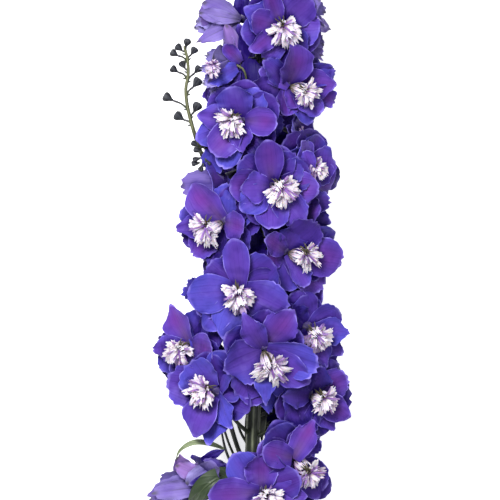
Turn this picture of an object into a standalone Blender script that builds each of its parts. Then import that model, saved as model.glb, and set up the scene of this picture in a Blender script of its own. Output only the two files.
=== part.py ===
"""Delphinium flower spike, cut and lying on its back on a flat surface.

The stem runs along +Y from its cut end to the buds at the tip, +X is to the right of somebody who
looks down on it, and +Z is up. The upper side is the side that the photograph shows. Every floret
is a bloom of sepals round a small core with a spur behind it, and a bee of pale petals stands on
the core. Sizes are in millimetres and become metres where a mesh is made.
"""

import math
import random
from typing import NamedTuple

import bmesh
import bpy
import numpy as np
from mathutils import Vector
from mathutils.bvhtree import BVHTree

MM = 0.001

# The photograph's frame, for what is placed by a pixel of it
MM_PER_PIXEL = 0.6
STEM_PIXEL_X = 255
BOTTOM_PIXEL_Y = 500

# From the photograph's frame to the middle of the whole spike's outline
CENTRE_X = -2.0
CENTRE_Y = 174.0

# Stem: stations along its axis, from the cut end to the tip
STEM_Y = (-88, -40, 0, 42, 100, 150, 220, 300, 350, 400, 436)
STEM_X = (-5, -3, -2, -1.2, 1, 2.5, 3, 3, 4, 6, 9)
STEM_Z = (33, 36, 37, 38, 38, 38, 38, 38, 37, 34, 30)
AXIS_HEIGHT = 38.0
STEM_RADIUS = (5.0, 4.8, 4.6, 4.4, 4.1, 3.9, 3.4, 2.8, 2.3, 1.5, 0.9)
STEM_STEP = 40

# Sepals
SEPAL_THICKNESS = 1.3
SEPAL_FULLNESS = 1.1
SEPAL_ROOT = 1.6
UPPER_SUNK = 1.1
LOWER_SUNK = 3.9
UPPER_LIFT = 7
WIDEST_AT = 0.62
CLAW_SHARE = 0.20
LONGEST_SEPAL = 34.0
LEAST_SHOWN = 0.72

# Floret core, which runs back into the spur, and pedicel
CORE_FRONT = 4.4
SPUR_TIP = 1.0
SPUR_LENGTH = 15.0
SPUR_RISE = 0.42
PEDICEL_RADIUS = 1.15
PEDICEL_DROP = 26.0
PEDICEL_POINTS = 3
PEDICEL_MEETS = 0.34

# Bee: a throat with lobes round its front end
BEE_REACH = 12.0
BEE_TURN = 0.9
THROAT_LENGTH = 6.5
THROAT_BACK = 2.2
THROAT_FRONT = 2.9
LOBE_COUNT = 5
LOBE_ROOT = 1.9
HIDDEN_BEE_LENGTH = 11.5
HIDDEN_BEE_WIDTH = 8.0
HIDDEN_BEE_THICKNESS = 5.0
LOBE_LENGTH = 8.4
LOBE_WIDTH = 7.6
LOBE_THICKNESS = 1.2
LOBE_LIFT = 24

# Room between nodes, and what a sepal may do to keep it
GAP = 0.3
LIFT_TRIES = (0, -5, 5, -10, 10, -16, 16, -22, 22, -29, 29, -36, 36)
REACH_TRIES = (1.0, 0.92, 0.84, 0.74)
LOWEST_MIDDLE = 0.1


class Sepal(NamedTuple):
    """A sepal as it shows from above: its direction and lift in degrees, its reach and width in millimetres."""

    direction: float
    reach: float
    width: float
    lift: float


class Floret(NamedTuple):
    """A floret by the pixel where its core shows, its core's height over the stem's axis, its facing round
    the stem (0 up, 90 to the right), how far it faces the tip, its bee's pixel, its sepals as they show
    from above or as they stand round its ring, or the count and the lift of regular ones, and its size."""

    name: str
    pixel: tuple
    depth: float
    facing: float
    nod: float = -8.0
    bee: tuple = ()
    sepals: tuple = ()
    ring: tuple = ()
    count: int = 5
    size: float = 1.0
    lift: float = 6.0


class Blade(NamedTuple):
    """A thin pointed body along a line from its root, which looks toward `face`."""

    root: Vector
    along: Vector
    face: Vector
    length: float
    width: float
    arch: float = 0.0
    cup: float = 0.0
    twist: float = 0.0
    claw: float = CLAW_SHARE
    widest: float = WIDEST_AT


S = Sepal

# Florets that face the viewer, their sepals by direction in the photograph
SEEN_FLORETS = (
    Floret("floret_11", (264, 350), 37, 2, -22, (270, 368), (
        S(205, 27, 23, 12), S(120, 24, 15, 14), S(55, 29, 17, 2), S(-15, 34, 18, 8), S(245, 33, 20, 2),
        S(272, 36, 13, 14), S(-68, 34, 12, 4), S(-37, 35, 17, 12))),
    Floret("floret_04", (272, 186), 33, 5, -6, (283, 192), (
        S(185, 19, 18, 14), S(96, 28, 16, 10), S(180, 26, 19, 0), S(218, 24, 15, 8), S(270, 27, 17, 2),
        S(-50, 31, 17, 12), S(-4, 29, 19, 3), S(55, 24, 22, -4))),
    Floret("floret_08", (240, 290), 31, -5, -8, (239, 299), (
        S(97, 31, 18, 12), S(186, 32, 19, 10), S(205, 30, 15, 0), S(250, 31, 18, 12), S(228, 32, 13, 4),
        S(-12, 31, 19, 10), S(-62, 25, 18, 2), S(40, 27, 21, 0))),
    Floret("floret_15", (262, 492), 31, 2, -6, (270, 497), (
        S(128, 32, 18, 2), S(92, 25, 17, 12), S(170, 34, 21, 10), S(215, 30, 18, 2), S(262, 30, 19, 12),
        S(-50, 30, 18, 4), S(-5, 27, 17, 12), S(50, 22, 16, 0))),
    Floret("floret_14", (294, 457), 25, 25, -12, (313, 474), (
        S(40, 24, 16, 10), S(130, 20, 22, 2), S(168, 20, 17, 12), S(235, 21, 15, 4), S(270, 27, 11, 14),
        S(-60, 30, 18, 4), S(-22, 28, 18, 0), S(80, 20, 15, 14))),
    Floret("floret_03", (242, 121), 28, -20, -4, (230, 125), (
        S(106, 22, 18, 10), S(173, 26, 14, 10), S(202, 27, 15, 0), S(228, 27, 16, 12), S(248, 31, 15, -2),
        S(268, 19, 13, 12), S(-2, 26, 19, 10), S(60, 22, 17, 0))),
    Floret("floret_01", (282, 27), 27, 15, -4, (287, 31), (
        S(169, 20, 14, 14), S(155, 25, 17, 0), S(220, 24, 11, 12), S(243, 22, 15, 0), S(4, 23, 21, 4),
        S(-45, 22, 14, 10), S(88, 26, 17, 2), S(112, 24, 9, 14))),
    Floret("floret_12", (212, 393), 22, -33, -4, (195, 390), (
        S(125, 23, 22, 8), S(178, 27, 23, 6), S(246, 29, 17, 10), S(268, 33, 15, 0), S(70, 27, 17, 4),
        S(-62, 24, 12, 4), S(20, 20, 18, -2), S(212, 26, 16, -2))),
    Floret("floret_02", (290, 86), 23, 35, -4, (309, 93), (
        S(74, 26, 17, 10), S(130, 25, 15, 0), S(262, 18, 12, 4), S(285, 14, 10, 14), S(-62, 26, 11, 4),
        S(-42, 25, 12, 12), S(3, 28, 18, 10), S(24, 28, 12, 0))),
    Floret("floret_07", (288, 252), 24, 33, -6, (309, 259), (
        S(-8, 33, 21, 10), S(20, 33, 15, 0), S(75, 18, 16, 12), S(-46, 35, 20, 2), S(-62, 24, 12, 14),
        S(-90, 24, 17, 4), S(150, 17, 13, 10), S(200, 14, 13, 0))),
    Floret("floret_13", (312, 396), 16, 30, -4, (325, 402), (
        S(18, 26, 18, 6), S(-30, 27, 15, 12), S(-56, 26, 12, 2), S(225, 22, 19, 0), S(70, 19, 15, 10),
        S(128, 18, 14, 0), S(180, 18, 14, 12), S(-92, 20, 14, -2))),
    Floret("floret_09", (310, 330), 14, 32, -4, (320, 338), (
        S(28, 22, 18, 6), S(-4, 24, 16, 12), S(-36, 26, 14, 2), S(-65, 26, 12, 10), S(180, 15, 15, 0),
        S(232, 13, 10, 12), S(95, 24, 18, 4), S(135, 19, 15, -2))),
    Floret("floret_06", (222, 222), 18, -34, -4, (208, 232), (
        S(130, 29, 16, 10), S(188, 26, 13, 12), S(168, 24, 13, -2), S(225, 27, 17, 6), S(262, 31, 15, 0),
        S(-15, 20, 16, 12), S(82, 23, 13, 4), S(30, 22, 18, -2))),
    Floret("floret_10", (188, 345), 7.5, -42, -6, (175, 353), (
        S(116, 27, 15, 10), S(158, 22, 14, 0), S(190, 22, 15, 12), S(218, 23, 14, 2), S(-15, 17, 15, 10),
        S(68, 22, 15, -2), S(262, 23, 15, 4), S(-55, 20, 14, 0))),
    Floret("floret_05", (308, 165), 11, 48, -6, (318, 167), (
        S(0, 18, 22, 10), S(-48, 21, 18, 2), S(62, 20, 15, 2), S(104, 15, 13, 14), S(-96, 18, 14, 10),
        S(150, 13, 12, 4)), size=0.9),
    Floret("floret_23", (200, 476), 2, -48, -30, (), (
        S(204, 31, 21, 8), S(146, 17, 15, 14), S(24, 17, 13, 12), S(246, 24, 18, 0), S(86, 15, 13, 2))),
)

# Florets that show from the side or only in part, their sepals by direction in the floret's own plane
SIDE_FLORETS = (
    Floret("floret_16", (237, 64), 9, -78, 4, size=0.9, ring=(
        S(72, 25, 14, 12), S(108, 26, 12, 24), S(8, 27, 18, 48), S(322, 27, 17, 44), S(276, 26, 16, 36),
        S(205, 25, 17, 30))),
    Floret("floret_17", (238, 18), 5, -92, 2, size=0.9, ring=(
        S(62, 25, 18, 50), S(6, 28, 19, 54), S(300, 27, 18, 50), S(236, 26, 16, 38), S(122, 26, 16, 44))),
    Floret("floret_18", (300, 4), 7, 70, 6, size=0.85, ring=(
        S(176, 25, 18, 36), S(112, 25, 16, 30), S(236, 26, 17, 40), S(302, 24, 16, 30), S(50, 24, 16, 34))),
    Floret("floret_20", (298, 132), 3, 62, 10, size=0.85, ring=(
        S(150, 22, 16, 34), S(90, 22, 15, 30), S(206, 24, 17, 30), S(30, 24, 16, 26), S(268, 20, 15, 30))),
    Floret("floret_21", (224, 180), 4, -72, -10, size=0.9, ring=(
        S(14, 27, 21, 44), S(318, 26, 17, 40), S(262, 25, 16, 30), S(196, 25, 17, 26), S(120, 24, 16, 26))),
    Floret("floret_22", (300, 214), 2, 80, -8, size=0.9, lift=26),
    Floret("floret_24", (214, 282), -10, -108, 0, size=0.9, lift=14),
    Floret("floret_25", (305, 292), -4, 100, 0, size=0.86, lift=18),
    Floret("floret_26", (306, 362), -12, 112, 0, size=0.9, lift=12),
    Floret("floret_27", (216, 108), -8, -112, 0, size=0.86, lift=14),
    Floret("floret_29", (286, 480), -14, 126, 0, size=0.9),
)

# Florets behind the stem, which the spike rests on
BACK_FLORETS = (
    Floret("floret_30", (258, 66), -20, -170, 0, count=5, size=0.92),
    Floret("floret_31", (268, 140), -21, 168, 0, count=5, size=0.96),
    Floret("floret_32", (246, 196), -19.5, -158, 0, count=5, size=0.96),
    Floret("floret_33", (268, 246), -19, 158, 0, count=5, size=1.0),
    Floret("floret_34", (258, 318), -20, -166, 0, count=5, size=1.0),
    Floret("floret_35", (272, 384), -23, 160, 0, count=5, size=0.94),
)

# Florets past the photograph's upper edge
TOP_COUNT = 7
TOP_START_Y = 318.0
TOP_STEP_Y = 10.0
TOP_FIRST_SIZE = 0.80
TOP_LAST_SIZE = 0.40
TOP_RADIUS = 26.0
TOP_FIRST_TURN = 20.0
GOLDEN_ANGLE = 137.5

# Buds at the tip
TIP_BUD_COUNT = 11
TIP_BUD_START_Y = 384.0
TIP_BUD_STEP_Y = 5.0
TIP_BUD_FIRST = 10.5
TIP_BUD_LAST = 3.4

# Side shoot: pixels of its bare stalk, and of its buds with the stalk pixel that each one hangs on
SHOOT_PIXELS = ((184, 45), (187, 58), (186, 72), (185, 88), (187, 104), (191, 122), (197, 142), (204, 160),
                (216, 182), (232, 202), (247, 214))
SHOOT_Z = (44, 44, 43, 43, 42, 42, 41, 40, 38, 37, 37)
SHOOT_RADIUS = 1.0
SHOOT_BUDS = (
    ((187, 36), (184, 46)), ((178, 44), (184, 50)), ((194, 48), (186, 56)), ((171, 52), (187, 60)),
    ((182, 64), (187, 72)), ((171, 69), (186, 78)), ((200, 68), (186, 80)), ((196, 84), (185, 92)),
    ((165, 97), (185, 100)), ((197, 109), (188, 112)), ((176, 118), (190, 124)), ((205, 146), (198, 146)),
)
SHOOT_BUD_LENGTH = 5.6
SHOOT_BUD_THICKNESS = 4.2

# Leaves: a stalk's pixels and heights from the stem outward, and blades on it, each by its root pixel, tip
# pixel, width, and its height at root and tip
BRACT_STALK = ((244, 484, 40), (233, 468, 43), (225, 449, 45), (221, 430, 44))
BRACT_BLADES = (((225, 450), (197, 443), 3.6, 45, 47), ((199, 443.5), (175, 462), 3.2, 47, 42))
LEFT_STALK = ((247, 500, 38), (238, 487, 34), (229, 472, 31))
LEFT_BLADES = (((230, 473), (184, 508), 12.5, 31, 27), ((230, 475), (212, 520), 11.0, 31, 22),
               ((230, 473), (198, 483), 7.0, 31, 22))
RIGHT_STALK = ((254, 566, 37), (262, 554, 35), (268, 546, 34))
RIGHT_BLADES = (((267, 547), (304, 578), 12.0, 34, 26), ((267, 547), (283, 592), 11.0, 34, 22),
                ((267, 547), (306, 552), 8.0, 34, 28))
STALK_RADIUS = 1.0
LEAF_THICKNESS = 1.2

# Solvers for a union, each with the merge in millimetres that follows it
FUSE_TRIES = (("EXACT", 0.02), ("EXACT", 0.002), ("EXACT", 0.0001), ("MANIFOLD", 0.02), ("MANIFOLD", 0.0001))

# Finishes: colour, roughness
VIOLET = ("violet sepal", (0.10, 0.045, 0.42), 0.55)
WHITE = ("pale bee petal", (0.80, 0.70, 0.76), 0.55)
STEM_GREEN = ("olive stem", (0.11, 0.15, 0.05), 0.55)
SLATE = ("slate bud", (0.05, 0.06, 0.07), 0.6)
LEAF_GREEN = ("dark leaf", (0.05, 0.10, 0.035), 0.5)


def place(pixel: tuple, height: float) -> Vector:
    """The point in millimetres that shows at a pixel of the photograph's frame, at a height."""
    x = (pixel[0] - STEM_PIXEL_X) * MM_PER_PIXEL - CENTRE_X
    y = (BOTTOM_PIXEL_Y - pixel[1]) * MM_PER_PIXEL - CENTRE_Y
    return Vector((x, y, height))


def between(value: float, stations: tuple, values: tuple) -> float:
    """The straight-line value at a place between stations."""
    return float(np.interp(value, stations, values))


def stem_axis(y: float) -> Vector:
    """The stem's middle at a place along it, counted from the photograph's lower edge."""
    return Vector((between(y, STEM_Y, STEM_X) - CENTRE_X, y - CENTRE_Y, between(y, STEM_Y, STEM_Z)))


def stem_radius(y: float) -> float:
    """The stem's radius at a place along it."""
    return between(y, STEM_Y, STEM_RADIUS)


def outline(v: float, claw: float, widest: float) -> float:
    """A blade's half width along it, as a share of its greatest half width."""
    if v < widest:
        return claw + (1 - claw) * math.sin(0.5 * math.pi * v / widest) ** 1.3
    past = (v - widest) / (1 - widest)
    return max(1 - past * past, 0.0) ** 0.6


def blade_point(blade: Blade, u: float, v: float, over: float) -> Vector:
    """A point of a blade at u across (-1 to 1) and v along (0 to 1), `over` millimetres above its middle layer."""
    half = 0.5 * blade.width * outline(v, blade.claw, blade.widest)
    side = blade.face.cross(blade.along)
    turn = blade.twist * (v - 0.5)
    across = side * math.cos(turn) + blade.face * math.sin(turn)
    upward = blade.face * math.cos(turn) - side * math.sin(turn)
    bow = 4 * blade.arch * blade.length * v * (1 - v)
    middle = blade.root + blade.along * (blade.length * v) + blade.face * bow
    point = middle + across * (half * u) + upward * (half * blade.cup * u * u)
    point.z = max(point.z, LOWEST_MIDDLE)
    point += upward * over
    point.z = max(point.z, 0.0)
    return point


def unit_spindle(rings: int) -> tuple:
    """A four-sided spindle from -1 to 1 along Z, its quads split alike on both faces, as points and faces."""
    bm = bmesh.new()
    bmesh.ops.create_uvsphere(bm, u_segments=4, v_segments=rings, radius=1.0)
    for face in [f for f in bm.faces if len(f.verts) == 4]:
        low = min((v for v in face.verts if abs(v.co.x) > 0.1), key=lambda v: v.co.z)
        high = max((v for v in face.verts if abs(v.co.x) < 0.1), key=lambda v: v.co.z)
        bmesh.utils.face_split(face, low, high)
    bmesh.ops.recalc_face_normals(bm, faces=bm.faces)
    bm.verts.index_update()
    points = [v.co.copy() for v in bm.verts]
    faces = [[v.index for v in f.verts] for f in bm.faces]
    bm.free()
    return points, faces


SHORT_SPINDLE = unit_spindle(4)
LOBE_SPINDLE = unit_spindle(3)


def blade_shape(blade: Blade, spindle: tuple, thickness: float, spare: float = 0.0) -> tuple:
    """A spindle warped to a blade, with `spare` millimetres added all round, as points and faces."""
    points = []
    wide = blade._replace(width=blade.width + 2 * spare, length=blade.length + spare)
    for corner in spindle[0]:
        ring = math.hypot(corner.x, corner.y)
        u = corner.x / ring if ring > 0.01 else 0.0
        over = 0.5 * thickness * corner.y + (spare if corner.y > 0.1 else -spare if corner.y < -0.1 else 0.0)
        points.append(blade_point(wide, u, 0.5 + 0.5 * corner.z, over))
    return points, spindle[1]


def cone_shape(base: Vector, axis: Vector, back: float, front: float, length: float) -> tuple:
    """A six-sided frustum from a point along an axis, as points and faces."""
    bm = bmesh.new()
    bmesh.ops.create_cone(bm, cap_ends=True, segments=6, radius1=back, radius2=front, depth=length)
    turn = Vector((0, 0, 1)).rotation_difference(axis)
    points = [base + turn @ (v.co + Vector((0, 0, 0.5 * length))) for v in bm.verts]
    bm.verts.index_update()
    faces = [[v.index for v in f.verts] for f in bm.faces]
    bm.free()
    return points, faces


class Bed:
    """All pieces that are placed so far, node by node, with what is needed to see whether another is clear."""

    def __init__(self) -> None:
        self.pieces = {}
        self.solids = []

    def add(self, node: str, shape: tuple) -> None:
        """Places a piece in a node."""
        self.pieces.setdefault(node, []).append(shape)
        self.solids.append((node, BVHTree.FromPolygons(*shape), *corners(shape)))

    def hits(self, node: str, shape: tuple) -> list:
        """The other nodes that a shape meets."""
        tree = BVHTree.FromPolygons(*shape)
        low, high = corners(shape)
        found = []
        for other, solid, other_low, other_high in self.solids:
            apart = any(low[i] > other_high[i] or high[i] < other_low[i] for i in range(3))
            if other != node and not apart and tree.overlap(solid):
                found.append(other)
        return found


def corners(shape: tuple) -> tuple:
    """The lowest and highest corners of a shape."""
    grid = np.array([tuple(p) for p in shape[0]])
    return grid.min(axis=0), grid.max(axis=0)


def facing_vector(facing: float, nod: float) -> Vector:
    """The way a floret faces: round the stem from straight up, and toward the tip by its nod."""
    turn, tip = math.radians(facing), math.radians(nod)
    return Vector((math.sin(turn) * math.cos(tip), math.sin(tip), math.cos(turn) * math.cos(tip)))


def seen_direction(direction: float, lift: float, facing: Vector) -> Vector:
    """The line that shows at a direction from above and stands `lift` over the plane across the facing.

    Its part in the plane seen from above has length 1.
    """
    c, s = math.cos(math.radians(direction)), math.sin(math.radians(direction))
    rise = min(math.sin(math.radians(lift)), facing.z - 0.15)
    lean = c * facing.x + s * facing.y
    root = math.sqrt(max(facing.z ** 2 + lean ** 2 - rise ** 2, 0.0))
    return Vector((c, s, (rise * root - lean * facing.z) / (facing.z ** 2 - rise ** 2)))


def sepal_blade(floret: Floret, sepal: Sepal, tip: Vector, form: tuple) -> Blade:
    """A sepal from its ring on the core to its tip. The upper ring is for the sepals with more lift."""
    core, facing = floret_core(floret), facing_vector(floret.facing, floret.nod)
    outward = (tip - core) - facing * facing.dot(tip - core)
    sunk = UPPER_SUNK if sepal.lift >= UPPER_LIFT else LOWER_SUNK
    root = core - facing * (sunk * floret.size) + outward.normalized() * (SEPAL_ROOT * floret.size)
    along = (tip - root).normalized()
    face = (facing - along * facing.dot(along)).normalized()
    return Blade(root, along, face, (tip - root).length, sepal.width * SEPAL_FULLNESS, *form)


def seen_blade(floret: Floret, sepal: Sepal, lift: float, reach: float, form: tuple) -> Blade:
    """A sepal placed by how it shows from above."""
    core, facing = floret_core(floret), facing_vector(floret.facing, floret.nod)
    line = seen_direction(sepal.direction, sepal.lift + lift, facing)
    tip = core + line.normalized() * min(sepal.reach * reach * line.length, LONGEST_SEPAL)
    blade = sepal_blade(floret, sepal, tip, form)
    shown = abs(blade.face.cross(blade.along).dot(Vector((-line.y, line.x, 0))))
    return blade._replace(width=blade.width / max(shown, LEAST_SHOWN))


def ring_blade(floret: Floret, sepal: Sepal, lift: float, reach: float, form: tuple) -> Blade:
    """A sepal placed round the core by its direction in the floret's own plane."""
    core, facing = floret_core(floret), facing_vector(floret.facing, floret.nod)
    right = Vector((0, 1, 0)).cross(facing).normalized()
    up = facing.cross(right)
    turn, rise = math.radians(sepal.direction), math.radians(sepal.lift + lift)
    flat = right * math.cos(turn) + up * math.sin(turn)
    tip = core + (flat * math.cos(rise) + facing * math.sin(rise)) * (sepal.reach * reach)
    return sepal_blade(floret, sepal, tip, form)


def regular_sepals(floret: Floret, draw: random.Random) -> list:
    """Sepals at even turns, two in three of them in the lower ring."""
    first = draw.uniform(0, 360)
    sepals = []
    for i in range(floret.count):
        direction = first + 360 * i / floret.count + draw.uniform(-6, 6)
        reach = floret.size * draw.uniform(28, 32)
        width = floret.size * draw.uniform(17, 21)
        sepals.append(Sepal(direction, reach, width, floret.lift + (8 if i % 2 else -2)))
    return sepals


def floret_core(floret: Floret) -> Vector:
    """Where a floret's core is."""
    return place(floret.pixel, AXIS_HEIGHT + floret.depth)


def spur_axis(facing: Vector) -> Vector:
    """The way a spur points from its core: back, and up toward the tip."""
    right = Vector((0, 1, 0)).cross(facing).normalized()
    return (facing.cross(right) * SPUR_RISE - facing).normalized()


def core_shape(floret: Floret) -> tuple:
    """A floret's core with its spur, as one frustum that narrows backward."""
    core, facing = floret_core(floret), facing_vector(floret.facing, floret.nod)
    size = floret.size
    return cone_shape(core, spur_axis(facing), CORE_FRONT * size, SPUR_TIP * size, SPUR_LENGTH * size)


def bee_axis(floret: Floret, core: Vector, facing: Vector) -> Vector:
    """The way a bee points: at its pixel where it has one, and as the floret faces otherwise."""
    if not floret.bee:
        return facing
    offset = place(floret.bee, core.z) - core
    rise = math.sqrt(max(BEE_REACH ** 2 - offset.length_squared, (0.4 * BEE_REACH) ** 2))
    return (offset + Vector((0, 0, rise))).normalized()


def lobe_ring(root: Vector, axis: Vector, count: int, lift: float, form: tuple, draw: random.Random) -> list:
    """Pale lobes at even turns round an axis: form holds their distance from it, their length and width."""
    right = Vector((0, 1, 0)).cross(axis).normalized()
    up = axis.cross(right)
    rise = math.radians(lift)
    shapes = []
    for i in range(count):
        turn = math.radians(90 + 360 * (i + 0.5) / count + draw.uniform(-6, 6))
        flat = right * math.cos(turn) + up * math.sin(turn)
        along = flat * math.cos(rise) + axis * math.sin(rise)
        face = axis * math.cos(rise) - flat * math.sin(rise)
        size = draw.uniform(0.92, 1.06)
        lobe = Blade(root + flat * form[0], along, face, form[1] * size, form[2] * size, 0.10, 0.2, 0.0, 0.32, 0.7)
        shapes.append(blade_shape(lobe, LOBE_SPINDLE, LOBE_THICKNESS))
    return shapes


def bee_shapes(floret: Floret, core: Vector, facing: Vector) -> list:
    """A bee: a throat with lobes round its front end, or one closed tuft on the core of a floret that hides it."""
    draw = random.Random("bee " + floret.name)
    size = floret.size
    if not floret.bee:
        side = Vector((0, 1, 0)).cross(facing).normalized()
        whole = Blade(core - facing * size, facing, facing.cross(side), HIDDEN_BEE_LENGTH * size,
                      HIDDEN_BEE_WIDTH * size, claw=0.4, widest=0.7)
        return [blade_shape(whole, LOBE_SPINDLE, HIDDEN_BEE_THICKNESS * size)]
    axis = bee_axis(floret, core, facing)
    level = -spur_axis(facing)
    tilt = math.sqrt(max(1 - axis.dot(level) ** 2, 0.0))
    base = core + level * (GAP + THROAT_BACK * size * tilt)
    throat = cone_shape(base, axis, THROAT_BACK * size, THROAT_FRONT * size, THROAT_LENGTH * size)
    form = (LOBE_ROOT * size, LOBE_LENGTH * size, LOBE_WIDTH * size)
    front = base + axis * (THROAT_LENGTH * size - 1.3)
    open_way = (axis + Vector((0, 0, BEE_TURN))).normalized()
    return [throat, *lobe_ring(front, open_way, LOBE_COUNT, LOBE_LIFT, form, draw)]


def tube(points: list, radii: list, resolution: int) -> tuple:
    """A bevelled curve through points as welded points and faces."""
    curve = bpy.data.curves.new("stalk", "CURVE")
    curve.dimensions = "3D"
    curve.bevel_depth = 1.0
    curve.bevel_resolution = resolution
    curve.use_fill_caps = True
    spline = curve.splines.new("POLY")
    spline.points.add(len(points) - 1)
    for knot, point, radius in zip(spline.points, points, radii):
        knot.co = (*point, 1.0)
        knot.radius = radius
    stalk = bpy.data.objects.new("stalk", curve)
    bpy.context.scene.collection.objects.link(stalk)
    bpy.context.view_layer.update()
    mesh = bpy.data.meshes.new_from_object(stalk.evaluated_get(bpy.context.evaluated_depsgraph_get()))
    bpy.data.objects.remove(stalk)
    bpy.data.curves.remove(curve)
    bm = bmesh.new()
    bm.from_mesh(mesh)
    bpy.data.meshes.remove(mesh)
    bmesh.ops.remove_doubles(bm, verts=bm.verts, dist=0.01)
    bmesh.ops.recalc_face_normals(bm, faces=bm.faces)
    bm.verts.index_update()
    shape = [v.co.copy() for v in bm.verts], [[v.index for v in f.verts] for f in bm.faces]
    bm.free()
    return shape


def top_florets() -> list:
    """Florets past the photograph's upper edge, smaller and more closed toward the tip."""
    florets = []
    for i in range(TOP_COUNT):
        share = i / (TOP_COUNT - 1)
        size = TOP_FIRST_SIZE + (TOP_LAST_SIZE - TOP_FIRST_SIZE) * share
        y = TOP_START_Y + TOP_STEP_Y * i
        facing = TOP_FIRST_TURN + GOLDEN_ANGLE * i
        turn = math.radians(facing)
        x = between(y, STEM_Y, STEM_X) + TOP_RADIUS * size * math.sin(turn)
        pixel = (STEM_PIXEL_X + x / MM_PER_PIXEL, BOTTOM_PIXEL_Y - y / MM_PER_PIXEL)
        florets.append(Floret(f"floret_{36 + i}", pixel, TOP_RADIUS * size * math.cos(turn), facing, 12,
                              count=5, size=size, lift=10 + 26 * share))
    return florets


def pedicel(floret: Floret, core: Vector, facing: Vector) -> tuple:
    """The stalk that carries a floret, from inside the stem to just behind the core's flat back."""
    size = floret.size
    spur = spur_axis(facing)
    under = (facing.cross(spur).cross(spur)).normalized()
    under = under if under.y < 0 else -under
    radius = CORE_FRONT + (SPUR_TIP - CORE_FRONT) * PEDICEL_MEETS
    end = core + spur * (SPUR_LENGTH * size * PEDICEL_MEETS) + under * (radius * size + GAP + 0.25)
    start = stem_axis(core.y + CENTRE_Y - PEDICEL_DROP * size)
    first = start + Vector((end.x - start.x, 0.5 * (end.y - start.y), end.z - start.z)) * 0.45
    last = end + under * 5.0
    points = []
    for i in range(PEDICEL_POINTS):
        t = i / (PEDICEL_POINTS - 1)
        a, b, c, d = (1 - t) ** 3, 3 * t * (1 - t) ** 2, 3 * t * t * (1 - t), t ** 3
        points.append(start * a + first * b + last * c + end * d)
    return tube(points, [PEDICEL_RADIUS * max(size, 0.7)] * PEDICEL_POINTS, 0)


def grow_stem(bed: Bed, florets: list) -> None:
    """The stem with the pedicels of all florets and the buds at the tip."""
    count = (STEM_Y[-1] - STEM_Y[0]) // STEM_STEP
    stations = [STEM_Y[0] + (STEM_Y[-1] - STEM_Y[0]) * i / count for i in range(count + 1)]
    bed.add("stem", tube([stem_axis(y) for y in stations], [stem_radius(y) for y in stations], 1))
    for floret in florets:
        bed.add("stem", pedicel(floret, floret_core(floret), facing_vector(floret.facing, floret.nod)))
    for i in range(TIP_BUD_COUNT):
        share = i / (TIP_BUD_COUNT - 1)
        y = TIP_BUD_START_Y + TIP_BUD_STEP_Y * i
        length = TIP_BUD_FIRST + (TIP_BUD_LAST - TIP_BUD_FIRST) * share
        out = facing_vector(GOLDEN_ANGLE * i + 60, 0)
        along = (out + Vector((0, 0.75 + share, 0))).normalized()
        root = stem_axis(y) + out * (stem_radius(y) * 0.5)
        knee = root + along * (9.0 * (1 - share) + 1.5)
        bed.add("stem", tube([root, knee + along], [0.9, 0.8], 0))
        bud = Blade(knee, along, along.cross(Vector((0.3, 1, 0.2))).normalized(), length, 0.62 * length, claw=0.5)
        bed.add("stem", blade_shape(bud, SHORT_SPINDLE, 0.55 * length))


def grow_side_shoot(bed: Bed) -> None:
    """The thin side shoot with its dark buds."""
    path = [place(pixel, z) for pixel, z in zip(SHOOT_PIXELS, SHOOT_Z)]
    bed.add("side_shoot", tube(path, [SHOOT_RADIUS] * len(path), 0))
    columns, rows = zip(*SHOOT_PIXELS)
    for i, (tip, foot) in enumerate(SHOOT_BUDS):
        height = between(foot[1], rows, SHOOT_Z)
        start = place((between(foot[1], rows, columns), foot[1]), height)
        end = place(tip, height + (2.5, -1.5, 1.0)[i % 3])
        along = (end - start).normalized()
        reach = (end - start).length - 0.5 * SHOOT_BUD_LENGTH
        bed.add("side_shoot", tube([start, start + along * (reach + 1.2)], [0.75, 0.8], 0))
        bud = Blade(start + along * reach, along, Vector((0, 0, 1)) - along * along.z, SHOOT_BUD_LENGTH,
                    SHOOT_BUD_THICKNESS, claw=0.45, widest=0.55)
        bed.add("side_shoot", blade_shape(bud, SHORT_SPINDLE, SHOOT_BUD_THICKNESS))


def grow_leaf(bed: Bed, node: str, stalk: tuple, blades: tuple, arch: float) -> None:
    """A leaf: a stalk that starts just clear of the stem, and blades on it."""
    path = [place(knot[:2], knot[2]) for knot in stalk]
    axis = stem_axis(path[0].y + CENTRE_Y)
    outward = Vector((path[1].x - axis.x, 0, path[1].z - axis.z)).normalized()
    tilt = math.sqrt(1 - outward.dot((path[1] - path[0]).normalized()) ** 2)
    path[0] = axis + outward * (stem_radius(path[0].y + CENTRE_Y) + GAP + STALK_RADIUS * tilt)
    bed.add(node, tube(path, [STALK_RADIUS] * len(path), 0))
    for root_pixel, tip_pixel, width, root_z, tip_z in blades:
        root, tip = place(root_pixel, root_z), place(tip_pixel, tip_z)
        along = (tip - root).normalized()
        face = (Vector((0, 0, 1)) - along * along.z).normalized()
        leaf = Blade(root, along, face, (tip - root).length, width, arch, 0.18, 0.0, 0.3, 0.5)
        bed.add(node, blade_shape(leaf, SHORT_SPINDLE, LEAF_THICKNESS))


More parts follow.
